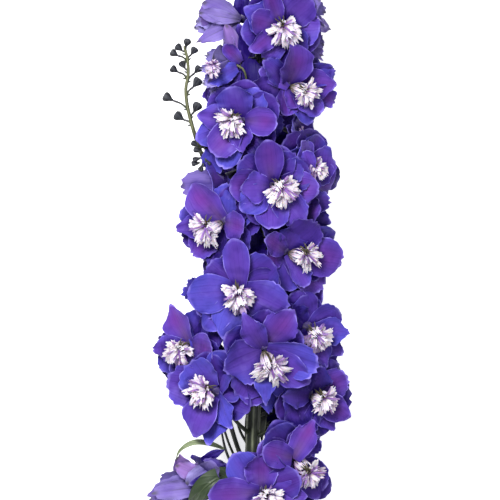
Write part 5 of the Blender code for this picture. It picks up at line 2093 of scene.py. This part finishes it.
@dataclass
class Stalks:
    """The stem, with the pedicels that carry the florets and the buds at the tip.

    A pedicel drops from its floret to the stem, meets the spur at a share of its length, and has an outline
    of pairs: a share of its length, and its radius as a share of the usual. The buds at the tip get shorter
    from the first to the last.
    """

    florets: list
    sides: int = 36
    rings: int = 130
    step: int = 40
    pedicel_radius: float = 1.15
    pedicel_drop: float = 26.0
    pedicel_meets: float = 0.34
    pedicel_outline: tuple = ((0.0, 1.35), (0.17, 1.1), (0.33, 1.0), (0.5, 0.95), (0.67, 0.95), (0.83, 1.0),
                              (1.0, 1.1))
    pedicel_flare: float = 1.2
    tip_buds_count: int = 11
    tip_start_y: float = 384.0
    tip_step_y: float = 5.0
    first_bud: float = 10.5
    last_bud: float = 3.4

    def build(self) -> bpy.types.Object:
        """Builds the stalks and stands them for the node of the stem.

        Returns:
            The piece.
        """
        count = (STEM_Y[-1] - STEM_Y[0]) // self.step
        stations = [STEM_Y[0] + (STEM_Y[-1] - STEM_Y[0]) * i / count for i in range(count + 1)]
        axis, radii = [stem_axis(y) for y in stations], [stem_radius(y) for y in stations]
        parts = [tube_along(axis, radii, self.sides, self.rings, OLIVE_STEM, 0.07, -0.4, False)]
        parts += [self.pedicel(floret) for floret in self.florets]
        parts += self.tip_buds()
        for knots, radius in LOOSE_STALKS:
            radii = [radius * 1.2] + [radius] * (len(knots) - 1)
            parts.append(tube_along(route(knots), radii, 8, 12, PEDICEL_GREEN))
        pale_radii = [PALE_STALK_RADIUS] * len(PALE_STALK)
        parts.append(tube_along(route(PALE_STALK), pale_radii, 8, 16, SHOOT_GREEN))
        parts += [leaflet(spot(root), spot(tip), width, OLIVE_STEM) for root, tip, width in STEM_BRACTS]
        piece = joined(parts, "stem_and_pedicels")
        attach(piece, "root")
        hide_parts("stem")
        return piece

    def pedicel(self, floret: Floret) -> bpy.types.Object:
        """The stalk that carries a floret, from inside the stem to just behind its core.

        Args:
            floret: the floret.

        Returns:
            The stalk.
        """
        core, facing, spur, size = floret.core(), floret.way(), floret.spur(), floret.size
        under = (facing.cross(spur).cross(spur)).normalized()
        under = under if under.y < 0 else -under
        radius = CORE_FRONT + (SPUR_TIP - CORE_FRONT) * self.pedicel_meets
        end = core + spur * (SPUR_LENGTH * size * self.pedicel_meets) + under * (radius * size + GAP + 0.25)
        start = stem_axis(core.y + CENTRE_Y - self.pedicel_drop * size)
        first = start + Vector((end.x - start.x, 0.5 * (end.y - start.y), end.z - start.z)) * 0.45
        last = end + under * 5.0
        path = [start * (1 - t) ** 3 + first * (3 * t * (1 - t) ** 2) + last * (3 * t * t * (1 - t))
                + end * t ** 3 for t, _ in self.pedicel_outline]
        thick = self.pedicel_radius * max(size, 0.7)
        radii = [thick * radius for _, radius in self.pedicel_outline]
        path.append(end - under * 0.9)
        radii.append(thick * self.pedicel_flare)
        return tube_along(path, radii, 10, 16, PEDICEL_GREEN)

    def tip_buds(self) -> list:
        """Makes the buds at the tip.

        Returns:
            The buds and their short stalks.
        """
        parts = []
        for i in range(self.tip_buds_count):
            share = i / (self.tip_buds_count - 1)
            y = self.tip_start_y + self.tip_step_y * i
            length = self.first_bud + (self.last_bud - self.first_bud) * share
            turn = math.radians(GOLDEN_ANGLE * i + 60)
            out = Vector((math.sin(turn), 0, math.cos(turn)))
            along = (out + Vector((0, 0.75 + share, 0))).normalized()
            root = stem_axis(y) + out * (stem_radius(y) * 0.5)
            knee = root + along * (9.0 * (1 - share) + 1.5)
            path = [root, root.lerp(knee, 0.5), knee + along]
            parts.append(tube_along(path, [0.9, 0.75, 0.8], 8, 6, PEDICEL_GREEN))
            parts.append(bud_at(knee, along, length, 0.6 * length, GREEN_BUD, 0.08))
        return parts


@dataclass
class SideShoot:
    """The thin side shoot with its dark buds, each on a thin stalk with a tiny bract.

    A fine bud is longer and thicker than its solid, and the first few are smaller.
    """

    stalk: tuple = SHOOT_PIXELS
    heights: tuple = SHOOT_Z
    radius: float = SHOOT_RADIUS
    bud_length: float = 5.6
    bud_thickness: float = 4.2
    longer: float = 1.36
    thicker: float = 1.55
    past_stalk: float = 0.78
    bud_heights: tuple = (2.5, -1.5, 1.0)
    small_buds: int = 7
    small_size: float = 0.8

    def build(self) -> bpy.types.Object:
        """Builds the shoot and stands it for its node.

        Returns:
            The piece.
        """
        path = [place(pixel, z) for pixel, z in zip(self.stalk, self.heights)]
        radii = [self.radius * (0.7 + 0.5 * i / (len(path) - 1)) for i in range(len(path))]
        parts = [tube_along(path, radii, 12, 90, SHOOT_GREEN, 0.08)]
        for i, (tip, foot) in enumerate(SHOOT_BUDS):
            parts += self.bud(i, tip, foot[1])
        for pixel, height, turn in SHOOT_SPIKES:
            root, angle = place(pixel, height), math.radians(turn)
            way = Vector((math.cos(angle), math.sin(angle), 0.1)).normalized()
            parts += [self.bract(root, way), bud_at(root, way, 5.4, 3.8, SLATE_BUD, 0.2, 0.6)]
        piece = joined(parts, "side_shoot_and_buds")
        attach(piece, "root")
        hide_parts("side_shoot")
        return piece

    def bud(self, i: int, tip: tuple, row: float) -> list:
        """A bud on its stalk.

        Args:
            i: its number.
            tip: the pixel of its tip.
            row: the row of pixels where its stalk starts.

        Returns:
            The stalk, the bud and the bract at its foot.
        """
        columns, rows = zip(*self.stalk)
        height = between(row, rows, self.heights)
        start = place((between(row, rows, columns), row), height)
        end = place(tip, height + self.bud_heights[i % 3])
        along = (end - start).normalized()
        reach = (end - start).length - self.past_stalk * self.bud_length
        twig = [start, start + along * (0.5 * reach) + Vector((0, 1.0, 0)), start + along * (reach + 0.8)]
        size = self.small_size if i < self.small_buds else 1.0
        length, thickness = self.longer * size * self.bud_length, self.thicker * size * self.bud_thickness
        return [tube_along(twig, [0.75, 0.55, 0.75], 8, 8, PEDICEL_GREEN),
                bud_at(start + along * reach, along, length, thickness, SLATE_BUD, 0.2, 0.66),
                self.bract(start, along)]

    def bract(self, start: Vector, along: Vector) -> bpy.types.Object:
        """A tiny pointed bract under a bud's stalk."""
        return leaflet(start, start + (along + Vector((0, -0.5, 0))).normalized() * 3.6, 1.1, PEDICEL_GREEN)


@dataclass
class Foliage:
    """A leaf: a stalk that starts just clear of the stem, and blades on it."""

    node: str
    stalk: tuple
    finish: Finish = DARK_LEAF
    blades: tuple = ()
    ribbons: tuple = ()
    arch: float = 0.05

    def build(self) -> bpy.types.Object:
        """Builds the leaf and stands it for its node.

        Returns:
            The piece.
        """
        path = route(self.stalk)
        axis = stem_axis(path[0].y + CENTRE_Y)
        outward = Vector((path[1].x - axis.x, 0, path[1].z - axis.z)).normalized()
        path[0] = axis + outward * (stem_radius(path[0].y + CENTRE_Y) - 0.2)
        radii = [1.5] + [STALK_RADIUS * 0.9] * (len(path) - 2) + [STALK_RADIUS * 0.6]
        parts = [tube_along(path, radii, 10, 30, PEDICEL_GREEN, 0.08)]
        maker = SheetMaker(Layer.LEAF)
        draw = random.Random("leaf " + self.node)
        for root_pixel, tip_pixel, width, root_z, tip_z in self.blades:
            root, tip = place(root_pixel, root_z), place(tip_pixel, tip_z)
            blade = Blade.upward(root, tip, width, self.arch, 0.18, 0.0, 0.3, 0.5)
            edge = Edge(ruffle=0.12 * math.sqrt(width), waves=draw.uniform(5, 8), phase=draw.uniform(0, 6),
                        tooth_count=3, crease=0.05 * width, curl=-0.12, point=1.0)
            points = maker.bend(blade, edge, FINE_LEAF)
            parts.append(maker.copy(points, self.finish, maker.back))
        parts += [self.ribbon(maker, knots, width) for knots, width in self.ribbons]
        piece = joined(parts, f"{self.node}_blades")
        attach(piece, "root")
        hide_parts(self.node)
        return piece

    def ribbon(self, maker: SheetMaker, knots: tuple, width: float) -> bpy.types.Object:
        """A long blade that follows a curve.

        Args:
            maker: the sheet's maker.
            knots: pixels and heights along its middle.
            width: its greatest width.

        Returns:
            The blade.
        """
        points = grid(route(knots))
        stations = np.linspace(0, 1, len(points))
        middle = curve_points(stations, points, maker.v)
        ahead = curve_points(stations, points, np.minimum(maker.v + 0.01, 1.0))
        behind = curve_points(stations, points, np.maximum(maker.v - 0.01, 0.0))
        tangent = unit_rows(ahead - behind)
        across = unit_rows(np.cross((0.0, 0.0, 1.0), tangent))
        upward = np.cross(tangent, across)
        swell = 0.3 + 0.7 * np.sin(np.pi * np.clip(maker.v, 0, 1) ** 0.8)
        half = 0.5 * width * swell * (1 - maker.v ** 6)
        x = half * maker.u
        rise = 0.16 * x * x / width - 0.05 * width * np.exp(-(maker.u / 0.14) ** 2)
        points = middle + across * x[:, None] + upward * (rise + 0.5 * FINE_LEAF * maker.side)[:, None]
        return maker.copy(points, self.finish, maker.back)


@dataclass
class Studio:
    """A pale floor, a large soft light over it and a long-lens camera that looks straight down."""

    frame_width: float = 300.0
    middle: tuple = (-1.0, -24.0)
    level: float = 60.0
    distance: float = 4000.0
    sensor: float = 36.0

    def build(self) -> None:
        """Builds the floor, the lights and the camera."""
        self.floor()
        self.lights()
        self.camera()

    def floor(self) -> None:
        """The floor that the spike lies on."""
        bpy.ops.mesh.primitive_plane_add(size=6.0, location=(0, 0, 0))
        floor = bpy.context.view_layer.objects.active
        floor.name = "studio_floor"
        floor.data.materials.append(FloorFinish().make())
        floor.select_set(False)

    def lights(self) -> None:
        """A main softbox from above the left, a weaker one from the right, and an even white surround."""
        world = bpy.data.worlds.new("studio surround")
        world.use_nodes = True
        world.node_tree.nodes["Background"].inputs["Color"].default_value = (0.97, 0.98, 1.0, 1.0)
        world.node_tree.nodes["Background"].inputs["Strength"].default_value = 0.12
        bpy.context.scene.world = world
        self.softbox("key softbox", (-0.5, 0.75, 1.6), 0.6, 48.0)
        self.softbox("fill softbox", (0.5, -0.3, 1.8), 0.9, 13.0)

    def softbox(self, name: str, place_m: tuple, size_m: float, power: float) -> None:
        """An area light that looks at the spike.

        Args:
            name: its name.
            place_m: where it is, in metres.
            size_m: its side, in metres.
            power: its power in watts.
        """
        lamp = bpy.data.lights.new(name, "AREA")
        lamp.energy = power
        lamp.size = size_m
        holder = bpy.data.objects.new(name, lamp)
        holder.location = place_m
        holder.rotation_euler = (-Vector(place_m)).to_track_quat("-Z", "Y").to_euler()
        bpy.context.scene.collection.objects.link(holder)

    def camera(self) -> None:
        """A camera straight above, so far off that it sees the spike almost without perspective."""
        lens = bpy.data.cameras.new("studio camera")
        lens.sensor_width = self.sensor
        lens.lens = self.sensor * self.distance / self.frame_width
        lens.clip_end = 20.0
        camera = bpy.data.objects.new("studio camera", lens)
        camera.location = (self.middle[0] * MM, self.middle[1] * MM, (self.level + self.distance) * MM)
        bpy.context.scene.collection.objects.link(camera)
        bpy.context.scene.camera = camera
        bpy.context.scene.view_settings.view_transform = "Standard"


def top_florets() -> list[Floret]:
    """Florets past the photograph's upper edge, smaller and more closed toward the tip.

    Returns:
        The florets.
    """
    florets = []
    for i in range(TOP_COUNT):
        share = i / (TOP_COUNT - 1)
        size = TOP_FIRST_SIZE + (TOP_LAST_SIZE - TOP_FIRST_SIZE) * share
        y = TOP_START_Y + TOP_STEP_Y * i
        facing = TOP_FIRST_TURN + GOLDEN_ANGLE * i
        turn = math.radians(facing)
        x = between(y, STEM_Y, STEM_X) + TOP_RADIUS * size * math.sin(turn)
        pixel = (STEM_PIXEL_X + x / MM_PER_PIXEL, BOTTOM_PIXEL_Y - y / MM_PER_PIXEL)
        florets.append(Floret(f"floret_{36 + i}", pixel, TOP_RADIUS * size * math.cos(turn), facing, 12,
                              size=size, lift=10 + 26 * share))
    return florets


@dataclass
class Depths:
    """How deep each point lies within the spike, for finishes that darken where no light comes.

    Light comes from sides, each an axis and a sign. The outer surface is read in cells, broad and fine ones.
    Each depth starts a little under it and has its full value after a range. A cell with nothing in it has a
    height far below the spike, and for the broad depth a bare height just under it.
    """

    pieces: list
    sides: tuple = ((2, 1), (2, -1), (0, 1), (0, -1))
    broad_cell: float = 2.0
    broad_start: float = 1.5
    broad_range: float = 13.0
    fine_cell: float = 1.6
    fine_start: float = 0.6
    fine_range: float = 5.0
    bare_height: float = -20.0
    nothing: float = -1e3

    def __post_init__(self) -> None:
        """Reads the pieces' points and the outer surfaces."""
        self.points = [self.read(piece) for piece in self.pieces]
        self.cloud = np.concatenate(self.points)
        self.low = self.cloud.min(axis=0) - 20.0
        self.high = self.cloud.max(axis=0) + 20.0
        self.broad = [(*side, self.surface(*side, self.broad_cell, self.bare_height)) for side in self.sides]
        self.fine = self.surface(2, 1, self.fine_cell, None)

    def read(self, piece: bpy.types.Object) -> np.ndarray:
        """Reads a piece's points.

        Args:
            piece: the piece.

        Returns:
            A row for each point, in millimetres.
        """
        flat = np.empty(3 * len(piece.data.vertices), np.float32)
        piece.data.vertices.foreach_get("co", flat)
        return flat.reshape(-1, 3).astype(float) / MM

    def cells(self, axis: int, points: np.ndarray, cell: float) -> tuple[np.ndarray, np.ndarray]:
        """The cells that points fall in, seen along an axis.

        Args:
            axis: the axis.
            points: a row for each point.
            cell: a cell's side.

        Returns:
            The cells' numbers both ways.
        """
        others = [i for i in range(3) if i != axis]
        spots = ((points[:, others] - self.low[others]) / cell).astype(int)
        return spots[:, 0], spots[:, 1]

    def surface(self, axis: int, sign: int, cell: float, bare: Optional[float]) -> np.ndarray:
        """The mean height of what is seen from one side, round each cell.

        Args:
            axis: the axis that the side looks along.
            sign: 1 for the side of greater values, -1 for the other.
            cell: the size of the cells that the surface is read in.
            bare: the height of a cell with nothing in it, or none to leave such cells out.

        Returns:
            A height for each cell.
        """
        others = [i for i in range(3) if i != axis]
        shape = np.ceil((self.high - self.low) / cell).astype(int) + 1
        top = np.full(shape[others], self.nothing)
        np.maximum.at(top, self.cells(axis, self.cloud, cell), sign * self.cloud[:, axis])
        total, weight = np.zeros_like(top), np.full_like(top, 1e-6)
        for i in range(-3, 4):
            for j in range(-3, 4):
                share = math.exp(-(i * i + j * j) / (8.0 if bare is not None else 2.0))
                moved = np.roll(top, (i, j), axis=(0, 1))
                there = moved > 0.9 * self.nothing
                total += share * np.where(there, moved, bare or 0.0)
                weight += share * np.where(there, 1.0, 0.0 if bare is None else 1.0)
        return total / weight

    def write(self) -> None:
        """Writes each piece's broad and fine depths as an attribute, each from 0 to 1."""
        for piece, points in zip(self.pieces, self.points):
            deep = []
            for axis, sign, surface in self.broad:
                deep.append(surface[self.cells(axis, points, self.broad_cell)] - sign * points[:, axis])
            under = self.fine[self.cells(2, points, self.fine_cell)] - points[:, 2]
            broad = np.clip((np.min(deep, axis=0) - self.broad_start) / self.broad_range, 0, 1) ** 0.8
            fine = np.clip((under - self.fine_start) / self.fine_range, 0, 1)
            write_mark(piece.data, "depth", rows_of(broad, fine, 0.0))


def sub_assemblies(room: Room) -> list:
    """The sub-assemblies of the spike.

    Args:
        room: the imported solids, which further sepals keep clear of.

    Returns:
        Each sub-assembly, in the order in which they are built.
    """
    florets = [*SEEN_FLORETS, *SIDE_FLORETS, *BACK_FLORETS, *top_florets()]
    parts = []
    for floret in florets:
        parts.append(Bloom(floret, room))
        if floret.bee:
            parts.append(Bee(floret, *BEE_FORMS[floret.name]))
    return parts + [Stalks(florets), SideShoot(),
                    Foliage("bract", BRACT_STALK, PALE_BRACT, ribbons=BRACT_RIBBONS),
                    Foliage("leaf_left", LEFT_STALK, blades=LEFT_BLADES, ribbons=LEFT_RIBBONS),
                    Foliage("leaf_right", RIGHT_STALK, blades=RIGHT_BLADES)]


def main() -> None:
    """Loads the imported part, dresses it and sets up the studio."""
    logging.basicConfig(level=logging.INFO, format="%(message)s")
    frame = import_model()
    bpy.ops.object.select_all(action="DESELECT")
    pieces = []
    for part in sub_assemblies(Room(frame["nodes"])):
        piece = part.build()
        triangles = sum(len(face.vertices) - 2 for face in piece.data.polygons)
        LOG.info("%s: %d triangles", piece.name, triangles)
        pieces.append(piece)
    Depths(pieces).write()
    SHOP.clear()
    Studio().build()
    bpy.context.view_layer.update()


if __name__ == "__main__":
    main()
